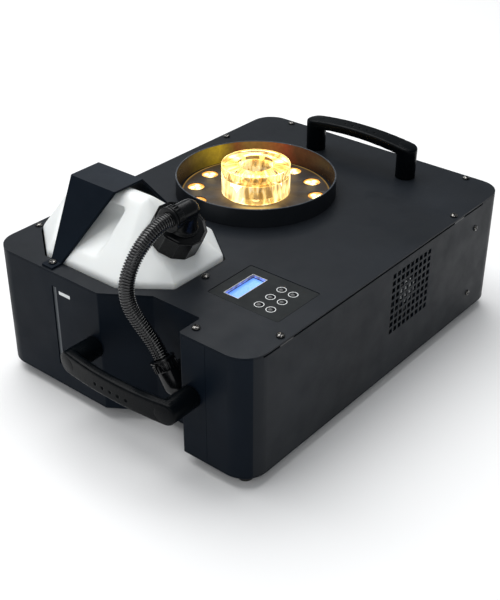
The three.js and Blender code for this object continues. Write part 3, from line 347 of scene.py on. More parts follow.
class Finish:
    """A material under construction, with its pattern on Object coordinates."""

    def __init__(self, name, colour, roughness, metallic=0.0):
        self.material = bpy.data.materials.new(name)
        self.material.use_nodes = True
        self.tree = self.material.node_tree
        self.shader = self.tree.nodes["Principled BSDF"]
        self.shader.inputs["Base Color"].default_value = (*colour, 1)
        self.shader.inputs["Roughness"].default_value = roughness
        self.shader.inputs["Metallic"].default_value = metallic
        self.place = self.tree.nodes.new("ShaderNodeTexCoord").outputs["Object"]
        self.height = None

    def link(self, source, socket):
        self.tree.links.new(source, socket)

    def stretched(self, scale):
        mapping = self.tree.nodes.new("ShaderNodeMapping")
        mapping.inputs["Scale"].default_value = scale
        self.link(self.place, mapping.inputs["Vector"])
        return mapping.outputs["Vector"]

    def noise(self, scale, detail=3.0, rough=0.55, place=None):
        node = self.tree.nodes.new("ShaderNodeTexNoise")
        node.inputs["Scale"].default_value = scale
        node.inputs["Detail"].default_value = detail
        node.inputs["Roughness"].default_value = rough
        self.link(place or self.place, node.inputs["Vector"])
        return node.outputs["Fac"]

    def ramp(self, factor, stops):
        node = self.tree.nodes.new("ShaderNodeValToRGB")
        ramp = node.color_ramp
        while len(ramp.elements) < len(stops):
            ramp.elements.new(0.5)
        for element, (position, colour) in zip(ramp.elements, stops):
            element.position = position
            element.color = (*colour, 1)
        self.link(factor, node.inputs["Fac"])
        return node.outputs["Color"]

    def spread(self, factor, low, high, start=0.3, end=0.7):
        node = self.tree.nodes.new("ShaderNodeMapRange")
        node.inputs["From Min"].default_value = start
        node.inputs["From Max"].default_value = end
        node.inputs["To Min"].default_value = low
        node.inputs["To Max"].default_value = high
        self.link(factor, node.inputs["Value"])
        return node.outputs["Result"]

    def mix(self, factor, first, second):
        node = self.tree.nodes.new("ShaderNodeMix")
        node.data_type = "RGBA"
        self.link(factor, node.inputs["Factor"])
        sides = [socket for socket in node.inputs if socket.type == "RGBA"]
        for socket, value in zip(sides, (first, second)):
            if isinstance(value, tuple):
                socket.default_value = (*value, 1)
            else:
                self.link(value, socket)
        return next(socket for socket in node.outputs if socket.type == "RGBA")

    def maths(self, operation, first, second=0.0):
        node = self.tree.nodes.new("ShaderNodeMath")
        node.operation = operation
        for socket, value in zip(node.inputs, (first, second)):
            if isinstance(value, (int, float)):
                socket.default_value = value
            else:
                self.link(value, socket)
        return node.outputs[0]

    def axes(self):
        node = self.tree.nodes.new("ShaderNodeSeparateXYZ")
        self.link(self.place, node.inputs[0])
        return node.outputs

    def product(self, first, second):
        return self.maths("MULTIPLY", first, second)

    def sum(self, first, second):
        return self.maths("ADD", first, second)

    def distance(self, first, second):
        """How far one number lies from another, without its sign."""
        return self.maths("ABSOLUTE", self.maths("SUBTRACT", first, second))

    def offsets(self, centre):
        """How far each point lies from an upright axis along X and along Y."""
        across = self.maths("SUBTRACT", self.axes()[0], centre.x)
        along = self.maths("SUBTRACT", self.axes()[1], centre.y)
        return across, along

    def reach(self, centre):
        """How far each point lies from an upright axis."""
        across, along = self.offsets(centre)
        return self.maths("SQRT", self.sum(self.product(across, across), self.product(along, along)))

    def colour(self, socket):
        self.link(socket, self.shader.inputs["Base Color"])
        return self

    def rough(self, socket):
        self.link(socket, self.shader.inputs["Roughness"])
        return self

    def glow(self, colour, strength):
        self.link(colour, self.shader.inputs["Emission Color"])
        self.link(strength, self.shader.inputs["Emission Strength"])
        return self

    def bump(self, height, distance, strength=1.0):
        node = self.tree.nodes.new("ShaderNodeBump")
        node.inputs["Strength"].default_value = strength
        node.inputs["Distance"].default_value = distance
        self.link(height, node.inputs["Height"])
        if self.height is not None:
            self.link(self.height, node.inputs["Normal"])
        self.height = node.outputs["Normal"]
        self.link(self.height, self.shader.inputs["Normal"])
        return self

    def set(self, **values):
        for key, value in values.items():
            self.shader.inputs[key.replace("_", " ")].default_value = value
        return self


def shade(colour, factor):
    return tuple(min(1.0, channel * factor) for channel in colour)


def powder_coat(name, colour, worn=0.0, shine=0.105):
    """Satin powder coat: a fine orange peel, faint clouding and a few pale specks."""
    finish = Finish(name, colour, 0.42)
    finish.set(Specular_IOR_Level=shine)
    cloud = finish.noise(11.0, 4.0)
    tint = finish.ramp(cloud, [(0.32, shade(colour, 0.84)), (0.7, shade(colour, 1.16))])
    speck = finish.ramp(finish.noise(1700.0, 1.0), [(0.71, (0, 0, 0)), (0.76, (1, 1, 1))])
    tint = finish.mix(finish.product(speck, 0.35), tint, shade(colour, 3.2))
    if worn:
        chips = finish.noise(420.0, 4.0, 0.7)
        where = finish.ramp(chips, [(0.60, (0, 0, 0)), (0.64, (1, 1, 1))])
        tint = finish.mix(finish.product(where, worn), tint, (0.33, 0.35, 0.36))
    finish.colour(tint)
    finish.rough(finish.spread(finish.noise(38.0, 3.0), 0.34, 0.50))
    finish.bump(finish.noise(900.0, 2.0), 0.00006, 0.55)
    finish.bump(finish.noise(2600.0, 1.0), 0.00003, 0.5)
    return finish.material


def moulded_plastic(name, colour, roughness, grain=0.00004, scale=1500.0, shine=0.36):
    """Moulded plastic: fine spark grain, with polish that varies a little from place to place."""
    finish = Finish(name, colour, roughness)
    finish.set(Specular_IOR_Level=shine)
    cloud = finish.noise(26.0, 3.0)
    finish.colour(finish.ramp(cloud, [(0.3, shade(colour, 0.82)), (0.72, shade(colour, 1.25))]))
    finish.rough(finish.spread(finish.noise(60.0, 4.0), roughness * 0.82, roughness * 1.2))
    finish.bump(finish.noise(scale, 2.0), grain, 0.6)
    return finish.material


def black_rubber():
    finish = Finish("foot_rubber", (0.012, 0.012, 0.013), 0.8)
    dust = finish.noise(140.0, 5.0, 0.7)
    finish.colour(finish.ramp(dust, [(0.45, (0.010, 0.010, 0.011)), (0.75, (0.040, 0.039, 0.037))]))
    finish.bump(finish.noise(1300.0, 3.0), 0.00012, 0.6)
    return finish.material


def milky_polythene():
    """Blow-moulded polythene: light goes a little way in, and the skin is slightly uneven."""
    base = tuple(colours().tank)
    finish = Finish("tank_polythene", base, 0.38)
    cloud = finish.noise(14.0, 3.0)
    finish.colour(finish.ramp(cloud, [(0.3, shade(base, 0.965)), (0.7, shade(base, 1.02))]))
    finish.rough(finish.spread(finish.noise(45.0, 3.0), 0.32, 0.46))
    finish.set(Subsurface_Weight=0.55, Subsurface_Scale=0.012, Subsurface_Radius=(1.0, 0.95, 0.88))
    off_seam = finish.distance(finish.axes()[0], middle("tank").x)
    finish.bump(finish.spread(off_seam, 1.0, 0.0, 0.0, 0.0007), 0.0004, 0.7)
    finish.bump(finish.noise(30.0, 2.0), 0.0011, 0.35)
    finish.bump(finish.noise(900.0, 2.0), 0.00003, 0.5)
    return finish.material


def screw_steel():
    finish = Finish("screw_steel", (0.05, 0.05, 0.052), 0.24, 1.0)
    rubbed = finish.noise(700.0, 3.0)
    finish.colour(finish.ramp(rubbed, [(0.46, (0.020, 0.020, 0.022)), (0.60, (0.30, 0.29, 0.27))]))
    finish.rough(finish.spread(finish.noise(1100.0, 2.0), 0.16, 0.36))
    finish.bump(finish.noise(2200.0, 2.0), 0.00003, 0.5)
    return finish.material


def metal_finish(name, colour, roughness, brushed=(1, 1, 1)):
    finish = Finish(name, colour, roughness, 1.0)
    grain = finish.noise(500.0, 3.0, 0.6, finish.stretched(brushed))
    finish.colour(finish.ramp(grain, [(0.3, shade(colour, 0.72)), (0.72, shade(colour, 1.2))]))
    finish.rough(finish.spread(grain, roughness * 0.75, roughness * 1.3))
    finish.bump(grain, 0.00004, 0.5)
    return finish.material


def circuit_board():
    """Green solder mask with tracks and pale pads."""
    finish = Finish("circuit_board", (0.02, 0.12, 0.05), 0.42)
    cells = finish.tree.nodes.new("ShaderNodeTexVoronoi")
    cells.distance = "CHEBYCHEV"
    cells.inputs["Scale"].default_value = 260.0
    finish.link(finish.place, cells.inputs["Vector"])
    off_middle = cells.outputs["Distance"]
    tracks = finish.ramp(off_middle, [(0.42, (0.016, 0.10, 0.042)), (0.5, (0.03, 0.19, 0.08))])
    pads = finish.ramp(off_middle, [(0.08, (1, 1, 1)), (0.12, (0, 0, 0))])
    finish.colour(finish.mix(pads, tracks, (0.55, 0.56, 0.54)))
    finish.bump(off_middle, 0.00006, 0.5)
    return finish.material


def white_ink():
    base = tuple(colours().ink)
    finish = Finish("white_ink", base, 0.5)
    wear = finish.noise(1500.0, 3.0)
    finish.colour(finish.ramp(wear, [(0.28, shade(base, 0.72)), (0.5, base)]))
    finish.bump(finish.noise(2400.0, 2.0), 0.00002, 0.5)
    return finish.material


def acrylic_joint():
    """The level at which the two acrylic rings meet."""
    low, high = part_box("diffuser_ring")
    return low.z + ACRYLIC_JOINT * (high.z - low.z)


def clear_acrylic():
    """Two stacked rings of cast acrylic with the lamps' light painted into them as glow: warm light in their
    sides, painted highlights on the rims and a bright joint.
    """
    # The warm base tint of the clear acrylic is painted light too, standing for the lamps' warm light inside
    # it
    finish = Finish("clear_acrylic", (1.0, 0.84, 0.50), 0.02)
    finish.set(Transmission_Weight=1.0, IOR=1.49)
    height = finish.axes()[2]
    reach = finish.reach(middle("diffuser_ring"))
    streaks = finish.noise(120.0, 2.0, 0.5, finish.stretched((1, 1, 0.3)))
    tint = finish.ramp(streaks, [(0.38, (0.50, 0.22, 0.03)), (0.50, (1.0, 0.62, 0.15)),
                                 (0.60, (1.0, 0.86, 0.50))])
    foot_level, top_level = (corner.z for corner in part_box("diffuser_ring"))
    joint = acrylic_joint()
    # Strengths of the painted glow: faint everywhere and in the sides, in bars in the lower ring, at the
    # foot and along the joint
    everywhere, faint = 0.07, 0.10
    outside = finish.spread(reach, 0.0, 1.0, ACRYLIC_OUTER - 3.5 * MM, ACRYLIC_OUTER - 2.0 * MM)
    under_top = finish.spread(height, 1.0, 0.0, top_level - 1.3 * MM, top_level - 0.8 * MM)
    lower = finish.spread(height, 1.0, 0.0, joint - 0.6 * MM, joint)
    bars = finish.product(finish.spread(streaks, 0.02, 0.6, 0.46, 0.54), lower)
    foot = finish.spread(height, 0.4, 0.0, foot_level + 1 * MM, foot_level + 5 * MM)
    line = finish.spread(finish.distance(height, joint), 0.9, 0.0, 0.2 * MM, 0.7 * MM)
    sides = finish.sum(finish.sum(finish.sum(bars, foot), faint), line)
    sides = finish.product(finish.product(sides, outside), under_top)
    # Painted highlights along the outer and inner rims of the top face
    outer_rim = finish.spread(reach, 0.0, 1.0, ACRYLIC_OUTER - 1.3 * MM, ACRYLIC_OUTER - 0.5 * MM)
    inner_rim = finish.spread(reach, 0.5, 0.0, ACRYLIC_BORE + 0.4 * MM, ACRYLIC_BORE + 1.3 * MM)
    rims = finish.product(finish.sum(outer_rim, inner_rim),
                          finish.spread(height, 0.0, 0.8, top_level - 1.0 * MM, top_level - 0.6 * MM))
    finish.glow(tint, finish.sum(finish.sum(sides, rims), everywhere))
    finish.rough(finish.spread(finish.noise(90.0, 3.0), 0.01, 0.035))
    finish.bump(finish.noise(55.0, 1.0), 0.0003, 0.25)
    return finish.material


def lit_lens():
    """A lit lamp lens: white at the heart of each lobe, amber at its rim."""
    finish = Finish("lit_lens", (1.0, 0.86, 0.55), 0.12)
    attribute = finish.tree.nodes.new("ShaderNodeAttribute")
    attribute.attribute_name = "lobe"
    heat = attribute.outputs["Fac"]
    tint = finish.ramp(heat, [(0.0, (1.0, 0.92, 0.62)), (0.5, (1.0, 0.74, 0.26)),
                              (1.0, (0.60, 0.26, 0.05))])
    finish.colour(tint)
    power = finish.spread(heat, 1.35, 0.55, 0.0, 1.0)
    flicker = finish.spread(finish.noise(900.0, 2.0), 0.7, 1.15)
    finish.glow(tint, finish.product(power, flicker))
    finish.set(Coat_Weight=0.6)
    return finish.material


def lit_glow(name, strength, colour=(1.0, 0.72, 0.30)):
    """A surface that glows unevenly, as if small lamps lit it from behind: the lamps under the acrylic, and
    the painted glow of the display window's walls.
    """
    finish = Finish(name, colour, 0.4)
    spots = finish.noise(150.0, 2.0)
    deep = (colour[0] * 0.9, colour[1] * 0.65, colour[2] * 0.5)
    pale = (colour[0], min(1.0, colour[1] * 1.2), min(1.0, colour[2] * 1.9))
    tint = finish.ramp(spots, [(0.36, deep), (0.52, colour), (0.64, pale)])
    finish.colour(tint)
    finish.glow(tint, finish.spread(spots, strength * 0.4, strength * 1.4, 0.38, 0.66))
    return finish.material


# Painted glow for the inside of the light ring: the lamps' coloured light and reflections, set by angle
# round the ring
RING_GLOW = (  # angle round the ring from +X, in degrees, and the colour that the lamps throw there
    (-180, (0.014, 0.009, 0.006)),
    (-75, (0.012, 0.008, 0.006)),
    (-22, (0.030, 0.016, 0.009)),
    (6, (0.095, 0.034, 0.013)),
    (14, (0.240, 0.050, 0.018)),
    (28, (0.270, 0.090, 0.022)),
    (42, (0.230, 0.120, 0.026)),
    (54, (0.200, 0.060, 0.018)),
    (62, (0.210, 0.120, 0.016)),
    (71, (0.460, 0.300, 0.018)),
    (84, (0.190, 0.125, 0.014)),
    (102, (0.050, 0.030, 0.011)),
    (122, (0.015, 0.010, 0.007)),
    (180, (0.014, 0.009, 0.006)),
)


def ring_angle(finish):
    """How far round the light ring a point lies, from 0 at -180 degrees to 1 at 180 degrees."""
    across, along = finish.offsets(middle("light_ring"))
    return finish.spread(finish.maths("ARCTAN2", along, across), 0.0, 1.0, -math.pi, math.pi)


def lit_wall():
    """The inside of the light ring: satin black, with the lamps' coloured light and reflections painted on
    it as soft bands of glow, stronger towards the rim.
    """
    finish = Finish("lit_wall", (0.0045, 0.0035, 0.003), 0.3)
    finish.set(Specular_IOR_Level=0.08)
    stops = [((angle + 180) / 360, colour) for angle, colour in RING_GLOW]
    wobble = finish.product(finish.maths("SUBTRACT", finish.noise(30.0, 3.0), 0.5), 0.05)
    tint = finish.ramp(finish.sum(ring_angle(finish), wobble), stops)
    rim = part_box("light_ring")[1].z
    power = finish.spread(finish.axes()[2], 0.5, 0.95, CASE_TOP, rim)
    finish.glow(tint, finish.product(power, finish.spread(finish.noise(260.0, 3.0), 0.85, 1.15)))
    finish.rough(finish.spread(finish.noise(50.0, 2.0), 0.24, 0.38))
    finish.bump(finish.noise(700.0, 2.0), 0.00005, 0.5)
    return finish.material


def lit_floor():
    """The painted floor of the light ring, with the lamps' light painted on it as glow: warm by the acrylic
    and gold along its outer edge.
    """
    paint = shade(tuple(colours().paint), 0.8)
    finish = Finish("lit_floor", paint, 0.5)
    finish.set(Specular_IOR_Level=0.25)
    cloud = finish.noise(40.0, 4.0)
    finish.colour(finish.ramp(cloud, [(0.3, shade(paint, 0.8)), (0.7, shade(paint, 1.3))]))
    reach = finish.reach(middle("diffuser_ring"))
    near = finish.ramp(finish.spread(reach, 0.0, 1.0, 36 * MM, 80 * MM),
                       [(0.0, (0.16, 0.09, 0.025)), (0.22, (0.05, 0.028, 0.010)),
                        (0.6, (0.016, 0.010, 0.006)), (0.93, (0.03, 0.017, 0.006)),
                        (1.0, (0.5, 0.28, 0.05))])
    # A painted gold glow just outside the acrylic, in the brightest sector
    off_glow_peak = finish.distance(ring_angle(finish), FLOOR_GLOW_PEAK)
    gold = finish.product(finish.spread(off_glow_peak, 1.0, 0.0, 0.02, 0.10),
                          finish.spread(reach, 0.0, 0.9, ACRYLIC_OUTER + 0.3 * MM, ACRYLIC_OUTER + 4.5 * MM))
    finish.glow(finish.mix(gold, near, (0.95, 0.60, 0.16)),
                finish.spread(finish.noise(22.0, 2.0), 0.6, 1.3))
    finish.bump(finish.noise(1100.0, 2.0), 0.00005, 0.5)
    return finish.material


def lit_screen():
    """The display's backlight, paler towards one corner and faintly grained by its cells."""
    base = tuple(colours().screen)
    finish = Finish("lit_screen", base, 0.18)
    low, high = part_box("display")
    across, along = finish.axes()[0], finish.axes()[1]
    corner = finish.sum(finish.spread(across, 0.0, 0.5, low.x, high.x),
                        finish.spread(along, 0.5, 0.0, low.y, high.y))
    tint = finish.ramp(corner, [(0.0, (0.10, 0.24, 0.80)), (0.6, (0.15, 0.34, 0.92)),
                                (1.0, (0.24, 0.46, 1.0))])
    finish.colour(tint)
    finish.glow(tint, finish.spread(finish.noise(1400.0, 1.0), 0.72, 0.95))
    finish.set(Coat_Weight=1.0, Coat_Roughness=0.06)
    return finish.material


MATERIALS = {}


def material(name):
    """The machine's finishes, each made once when it is first wanted."""
    if name not in MATERIALS:
        paint = tuple(colours().paint)
        side = tuple(colours().side_painted_shade)
        plastic = tuple(colours().plastic)
        makers = {
            "paint": lambda: powder_coat("case_paint", paint),
            # The edge paint is lighter than the case paint, with worn chips: a painted highlight along the
            # rounded edges, and wear
            "paint_edge_wear_and_highlight": lambda: powder_coat("case_edge_wear_and_highlight", shade(paint, 3.0), 0.5, 0.3),
            # The side paint is a painted shade: a darker, bluer copy of the case paint
            "side_painted_shade": lambda: powder_coat("end_painted_shade", side, 0.0, 0.05),
            # The side edge paint is lighter than the side paint, with worn chips: a painted highlight along
            # its edges, and wear
            "side_edge_wear_and_highlight": lambda: powder_coat("end_edge_wear_and_highlight", shade(side, 4.0), 0.6, 0.3),
            "ring_paint": lambda: powder_coat("ring_paint", shade(paint, 0.8), 0.0, 0.16),
            "plastic": lambda: moulded_plastic("black_plastic", plastic, 0.36),
            "gloss": lambda: moulded_plastic("gloss_plastic", shade(plastic, 0.7), 0.2, 0.00002),
            "handle": lambda: moulded_plastic("handle_plastic", (0.0012, 0.0020, 0.0028), 0.28,
                                              scale=1100.0, shine=0.06),
            "panel": lambda: moulded_plastic("panel_film", (0.0085, 0.0108, 0.0118), 0.5, 0.00003,
                                             shine=0.13),
            "key": lambda: moulded_plastic("key_plastic", shade(plastic, 1.6), 0.16, 0.00001),
            "hose": lambda: moulded_plastic("hose_plastic", shade(plastic, 0.6), 0.17, 0.00002, shine=0.8),
            "sight": lambda: moulded_plastic("sight_strip", (0.085, 0.095, 0.105), 0.35, 0.00002),
            "cap": lambda: moulded_plastic("cap_plastic", shade(plastic, 0.8), 0.26, 0.00003, shine=0.2),
            # The strap paint is a painted light: a lighter coat for the bracket's top faces than the side
            # paint of its legs
            "strap": lambda: powder_coat("strap_top_painted_light", (0.0095, 0.0140, 0.0210)),
            "rubber": black_rubber,
            "tank": milky_polythene,
            "screw": screw_steel,
            "brass": lambda: metal_finish("nozzle_brass", (0.60, 0.42, 0.18), 0.3),
            "copper": lambda: metal_finish("pipe_copper", (0.62, 0.27, 0.15), 0.32),
            "aluminium": lambda: metal_finish("heater_aluminium", (0.55, 0.56, 0.57), 0.48),
            "zinc": lambda: metal_finish("zinc_plate", (0.46, 0.48, 0.49), 0.36, (1, 8, 1)),
            "board": circuit_board,
            "ink": white_ink,
            "acrylic": clear_acrylic,
            "lens": lit_lens,
            "glow": lambda: lit_glow("acrylic_glow", 1.7),
            "wall": lit_wall,
            "floor": lit_floor,
            "screen": lit_screen,
            # The window's walls take a painted glow for the screen's light on them
            "window_glow": lambda: lit_glow("window_painted_glow", 0.8, (0.15, 0.18, 0.36)),
            "pin": lambda: metal_finish("contact_pin", (0.62, 0.60, 0.55), 0.25),
        }
        MATERIALS[name] = makers[name]()
    return MATERIALS[name]


# ------------------------------------------------------------------ operators


class Piece:
    """What the operators share."""

    bl_options = {"REGISTER", "UNDO"}


class FOG_OT_stage(Piece, Operator):
    """Sets the camera, the pale floor and the soft studio light"""

    bl_idname = "fog.stage"
    bl_label = "Stage"

    def execute(self, context):
        self.camera(context)
        self.floor()
        self.lights(context)
        return {"FINISHED"}

    def camera(self, context):
        data = bpy.data.cameras.new("camera")
        camera = bpy.data.objects.new("camera", data)
        context.scene.collection.objects.link(camera)
        camera.location = at(-558.0, -460.0, 642.8)
        azimuth, elevation, roll = -50.5707, 31.8663, 0.1219
        heading = Matrix.Rotation(math.radians(azimuth), 3, "Z")
        tilt = Matrix.Rotation(math.radians(90 - elevation), 3, "X")
        camera.rotation_euler = (heading @ tilt @ Matrix.Rotation(math.radians(roll), 3, "Z")).to_euler()
        data.lens = 65.23
        data.sensor_width = 36.0
        data.clip_start = 0.01
        context.scene.camera = camera

    def floor(self):
        bpy.ops.mesh.primitive_plane_add(size=12.0, location=(0, 0, 0))
        floor = rename(bpy.context.object, "studio_floor")
        finish = Finish("studio_floor", (0.90, 0.90, 0.90), 0.7)
        cloud = finish.noise(2.0)
        finish.colour(finish.ramp(cloud, [(0.3, (0.89, 0.89, 0.89)), (0.7, (0.91, 0.91, 0.91))]))
        floor.data.materials.append(finish.material)

    def lights(self, context):
        world = bpy.data.worlds.new("studio")
        world.use_nodes = True
        background = world.node_tree.nodes["Background"]
        background.inputs["Color"].default_value = (0.90, 0.95, 1.0, 1)
        background.inputs["Strength"].default_value = 0.22
        context.scene.world = world
        context.scene.view_settings.view_transform = "Standard"
        self.area(context, "overhead", (0.3, 0.9, 2.5), 3.0, 98)
        self.area(context, "left", (-2.4, 0.9, 1.4), 1.6, 7)
        self.area(context, "right", (-1.3, -2.0, 0.8), 1.2, 3)
        self.area(context, "front", (-1.5, -1.3, 1.6), 1.2, 9)

    def area(self, context, name, place, width, power):
        data = bpy.data.lights.new(name, "AREA")
        data.energy = power
        data.size = width
        lamp = bpy.data.objects.new(name, data)
        context.scene.collection.objects.link(lamp)
        lamp.location = place
        target = Vector((0, 0, 0.1))
        lamp.rotation_euler = (Vector(place) - target).to_track_quat("Z", "Y").to_euler()


class FOG_OT_case(Piece, Operator):
    """Dresses the folded sheet pieces of the case"""

    bl_idname = "fog.case"
    bl_label = "Case"

    def execute(self, context):
        for node, paint in (("top_cover", "paint"), ("fan_side_shell", "paint"),
                            ("tank_side_shell", "side_painted_shade"), ("rear_panel", "paint"),
                            ("bottom_tray", "paint")):
            edge = "side_edge_wear_and_highlight" if paint == "side_painted_shade" else "paint_edge_wear_and_highlight"
            self.sheet(node, material(paint), material(edge))
        self.level_marks()
        self.gap_shade()
        return {"FINISHED"}

    def gap_shade(self):
        """A painted shadow: dark strips that carry the shadow line under the cover past the two screw tabs
        of the fan side.
        """
        reach = 9.2
        strips = [added_box("shade", at(tab - reach, -0.1, 126.7), at(tab + reach, 0.05, 128.25))
                  for tab in (50.7, 337.2)]
        finish_piece(joined(strips, "gap_shade"), "case", [material("gloss")])

    def sheet(self, node, paint, edge):
        piece = cad_copy(node, node + "_sheet")
        # Faces turned towards -X take the side paint, a painted shade
        paint_faces(piece, 2, lambda spot, normal: normal.x < -0.5)
        # The rounded edges take the edge paint, a painted highlight with worn chips
        strip_edges(piece, sizes().edge)
        finish_piece(piece, "case", [paint, edge, material("side_painted_shade")], [node],
                     SHEET_ANGLE, True)

    def level_marks(self):
        """The white bars that mark a full and an empty tank, and the strip behind the sight slot."""
        marks = []
        for y0, y1, z in ((216.0, 231.0, 109.7), (218.0, 233.5, 25.0)):
            low = at(-0.12, y0, z - 1.8)
            high = at(0.02, y1, z + 1.8)
            bar = added_box("mark", low, high)
            marks.append(round_edges(bar, 0.9 * MM, 4))
        finish_piece(joined(marks, "level_marks"), "case", [material("ink")])
        strip = added_box("sight_strip", at(1.7, 235.6, 23), at(2.5, 243, 116))
        finish_piece(strip, "case", [material("sight")])


class FOG_OT_screws(Piece, Operator):
    """Models the cross-head screws of the cover, bracket and side"""

    bl_idname = "fog.screws"
    bl_label = "Screws"

    def execute(self, context):
        master = self.screw()
        for index in range(1, 9):
            self.place(master, f"cover_screw_{index}", index * 0.83)
        for index in range(1, 3):
            self.place(master, f"bracket_screw_{index}", index * 1.37)
        for index, height in enumerate((103.5, 24.0)):
            self.side_screw(master, index, height)
        bpy.data.objects.remove(master)
        return {"FINISHED"}

    def side_screw(self, master, index, height):
        """A smaller screw head against the fan side, cut off just behind the sheet's face."""
        fan_face = ORIGIN.y
        spot = at(374.0, 0, height)
        place = Matrix.Translation((spot.x, fan_face - 0.02 * MM, spot.z))
        turn = Matrix.Rotation(math.radians(90), 4, "X") @ Matrix.Rotation(0.5 + index, 4, "Z")
        small = copied(master, f"side_screw_{index + 1}", place @ turn @ Matrix.Scale(0.8, 4))
        with editing(small):
            bpy.ops.mesh.bisect(plane_co=(0, fan_face + 0.6 * MM, 0), plane_no=(0, 1, 0), use_fill=True,
                                clear_outer=True)
        finish_piece(small, "case", [material("screw")])

    def place(self, master, node, turn):
        centre = middle(node)
        spot = Vector((centre.x, centre.y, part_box(node)[1].z - 2.5 * MM))
        piece = copied(master, node + "_head", Matrix.Translation(spot) @ Matrix.Rotation(turn, 4, "Z"))
        finish_piece(piece, "case", [material("screw")], [node], 40)

    def screw(self):
        """A pan head on a plain shank, with its seat at height zero."""
        radius, height, shank, length = 3.85 * MM, 2.45 * MM, 1.85 * MM, 7.2 * MM
        wall = 0.9 * MM
        crown = dome(radius, wall, height - wall, 8)
        profile = [(0, -length), (shank * 0.7, -length), (shank, -length + 0.8 * MM), (shank, 0),
                   (radius * 0.97, 0), (radius, 0.25 * MM), *crown[:-1], (0, height)]
        head = revolve("screw", profile, steps=40)
        for turn in (0, math.pi / 2):
            bpy.ops.mesh.primitive_cube_add(size=1, location=(0, 0, height - 0.35 * MM))
            arm = bpy.context.object
            arm.scale = (4.4 * MM, 0.85 * MM, 1.9 * MM)
            arm.rotation_euler = (0, 0, turn)
            with editing(arm, "DESELECT"):
                select_faces(arm, lambda centre, normal: normal.z < -0.9)
                bpy.ops.transform.resize(value=(0.45, 0.8, 1))
            cut(head, arm)
        return head


class FOG_OT_feet(Piece, Operator):
    """Models the round rubber feet and the screw heads in them"""

    bl_idname = "fog.feet"
    bl_label = "Feet"

    def execute(self, context):
        for index in range(1, 5):
            node = f"foot_{index}"
            low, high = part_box(node)
            height = high.z - low.z
            base, top = 7.5 * MM, 9.0 * MM
            profile = [*millimetres((0, 3.2), (3.0, 3.2), (3.3, 0.4), (3.8, 0)), (base - 0.9 * MM, 0),
                       (base - 0.2 * MM, 0.3 * MM), (base, 1.0 * MM), (top, height - 0.8 * MM),
                       (top - 0.3 * MM, height), (0, height)]
            centre = middle(node)
            foot = revolve(node + "_rubber", profile, (centre.x, centre.y, low.z), 48)
            finish_piece(foot, "case", [material("rubber")], [node])
            head = millimetres((0, 0), (2.4, 0), (2.2, -0.9), (1.2, -1.5), (0, -1.6))
            screw = revolve(node + "_screw", head, (centre.x, centre.y, low.z + 3.1 * MM), 24)
            finish_piece(screw, "case", [material("screw")])
        return {"FINISHED"}


class FOG_OT_tank(Piece, Operator):
    """Models the blow-moulded tank with its grip hollows and slanted shoulder"""

    bl_idname = "fog.tank"
    bl_label = "Tank"

    def execute(self, context):
        low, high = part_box("tank")
        body = self.walls(low, high)
        self.roof(body)
        self.shoulder(body)
        self.hollows(body)
        body = self.neck(body)
        merge_lumps(body, sizes().tank_voxel, 6)
        finish_piece(body, "case", [material("tank")], ["tank"], 180)
        return {"FINISHED"}

    def walls(self, low, high):
        """The eight-sided walls: a box with its corners cut off."""
        shoulder = at(0, 0, 134.5).z
        body = added_box("tank_skin", low, (high.x, high.y, shoulder))
        centre = (low + high) / 2
        reach = (high - low) / 2
        for side_x in (-1, 1):
            for side_y in (-1, 1):
                normal = Vector((side_x * 43, side_y * 33, 0)).normalized()
                corner = Vector((centre.x + side_x * (reach.x - 32.2 * MM), centre.y + side_y * reach.y, 0))
                with editing(body):
                    bpy.ops.mesh.bisect(plane_co=corner, plane_no=normal, use_fill=True, clear_outer=True)
        return body

    def roof(self, body):
        """Draws the roof up from the walls to the rounded crest over the grip."""
        crest = added_cylinder("crest", 15.5 * MM, 93 * MM, at(85, 234.5, 173.5), 32, (math.pi / 2, 0, 0))
        round_edges(crest, 0.006, 4, 60)
        only(body, crest)
        bpy.ops.object.join()
        with editing(body):
            bpy.ops.mesh.convex_hull()

    def shoulder(self, body):
        """Cuts the slanted face that carries the neck, up to a line in front of the ridge."""
        block = added_box("block", (-0.2, -0.2, 0), (0.2, 0.2, 0.2))
        block.rotation_euler = (NECK_TILT, 0, 0)
        block.location = NECK_SPOT
        keep = added_box("keep", at(-100, 176, 0), at(300, 500, 400))
        cut(block, keep)
        cut(body, block)

    def hollows(self, body):
        """Cuts a finger hollow with rounded edges into each side of the roof, which leaves the grip."""
        for side in (-1, 1):
            hollow = added_box("hollow", (0, 0, 166 * MM), (70 * MM, 82 * MM, 179 * MM))
            with editing(hollow, "DESELECT"):
                bpy.ops.mesh.select_mode(type="FACE")
                select_faces(hollow, lambda centre, normal: normal.z < -0.9)
                bpy.ops.transform.translate(value=(4 * MM, 0, 0))
                bpy.ops.mesh.extrude_region_move(TRANSFORM_OT_translate={"value": (46 * MM, 0, -24 * MM)})
            round_edges(hollow, 3 * MM, 3)
            hollow.data.transform(Matrix.Translation((9 * MM, 0, 0)))
            if side < 0:
                hollow.data.transform(Matrix.Scale(-1, 4, X_AXIS))
                with editing(hollow):
                    bpy.ops.mesh.flip_normals()
            hollow.location = at(85, 206, 0)
            cut(body, hollow)

    def neck(self, body):
        tube = added_cylinder("neck", 20.8 * MM, 24 * MM, NECK_SPOT, 40, (NECK_TILT, 0, 0))
        collar = added_cylinder("collar", 24.5 * MM, 3 * MM, NECK_SPOT, 40, (NECK_TILT, 0, 0))
        return joined([body, tube, collar], "tank_skin")


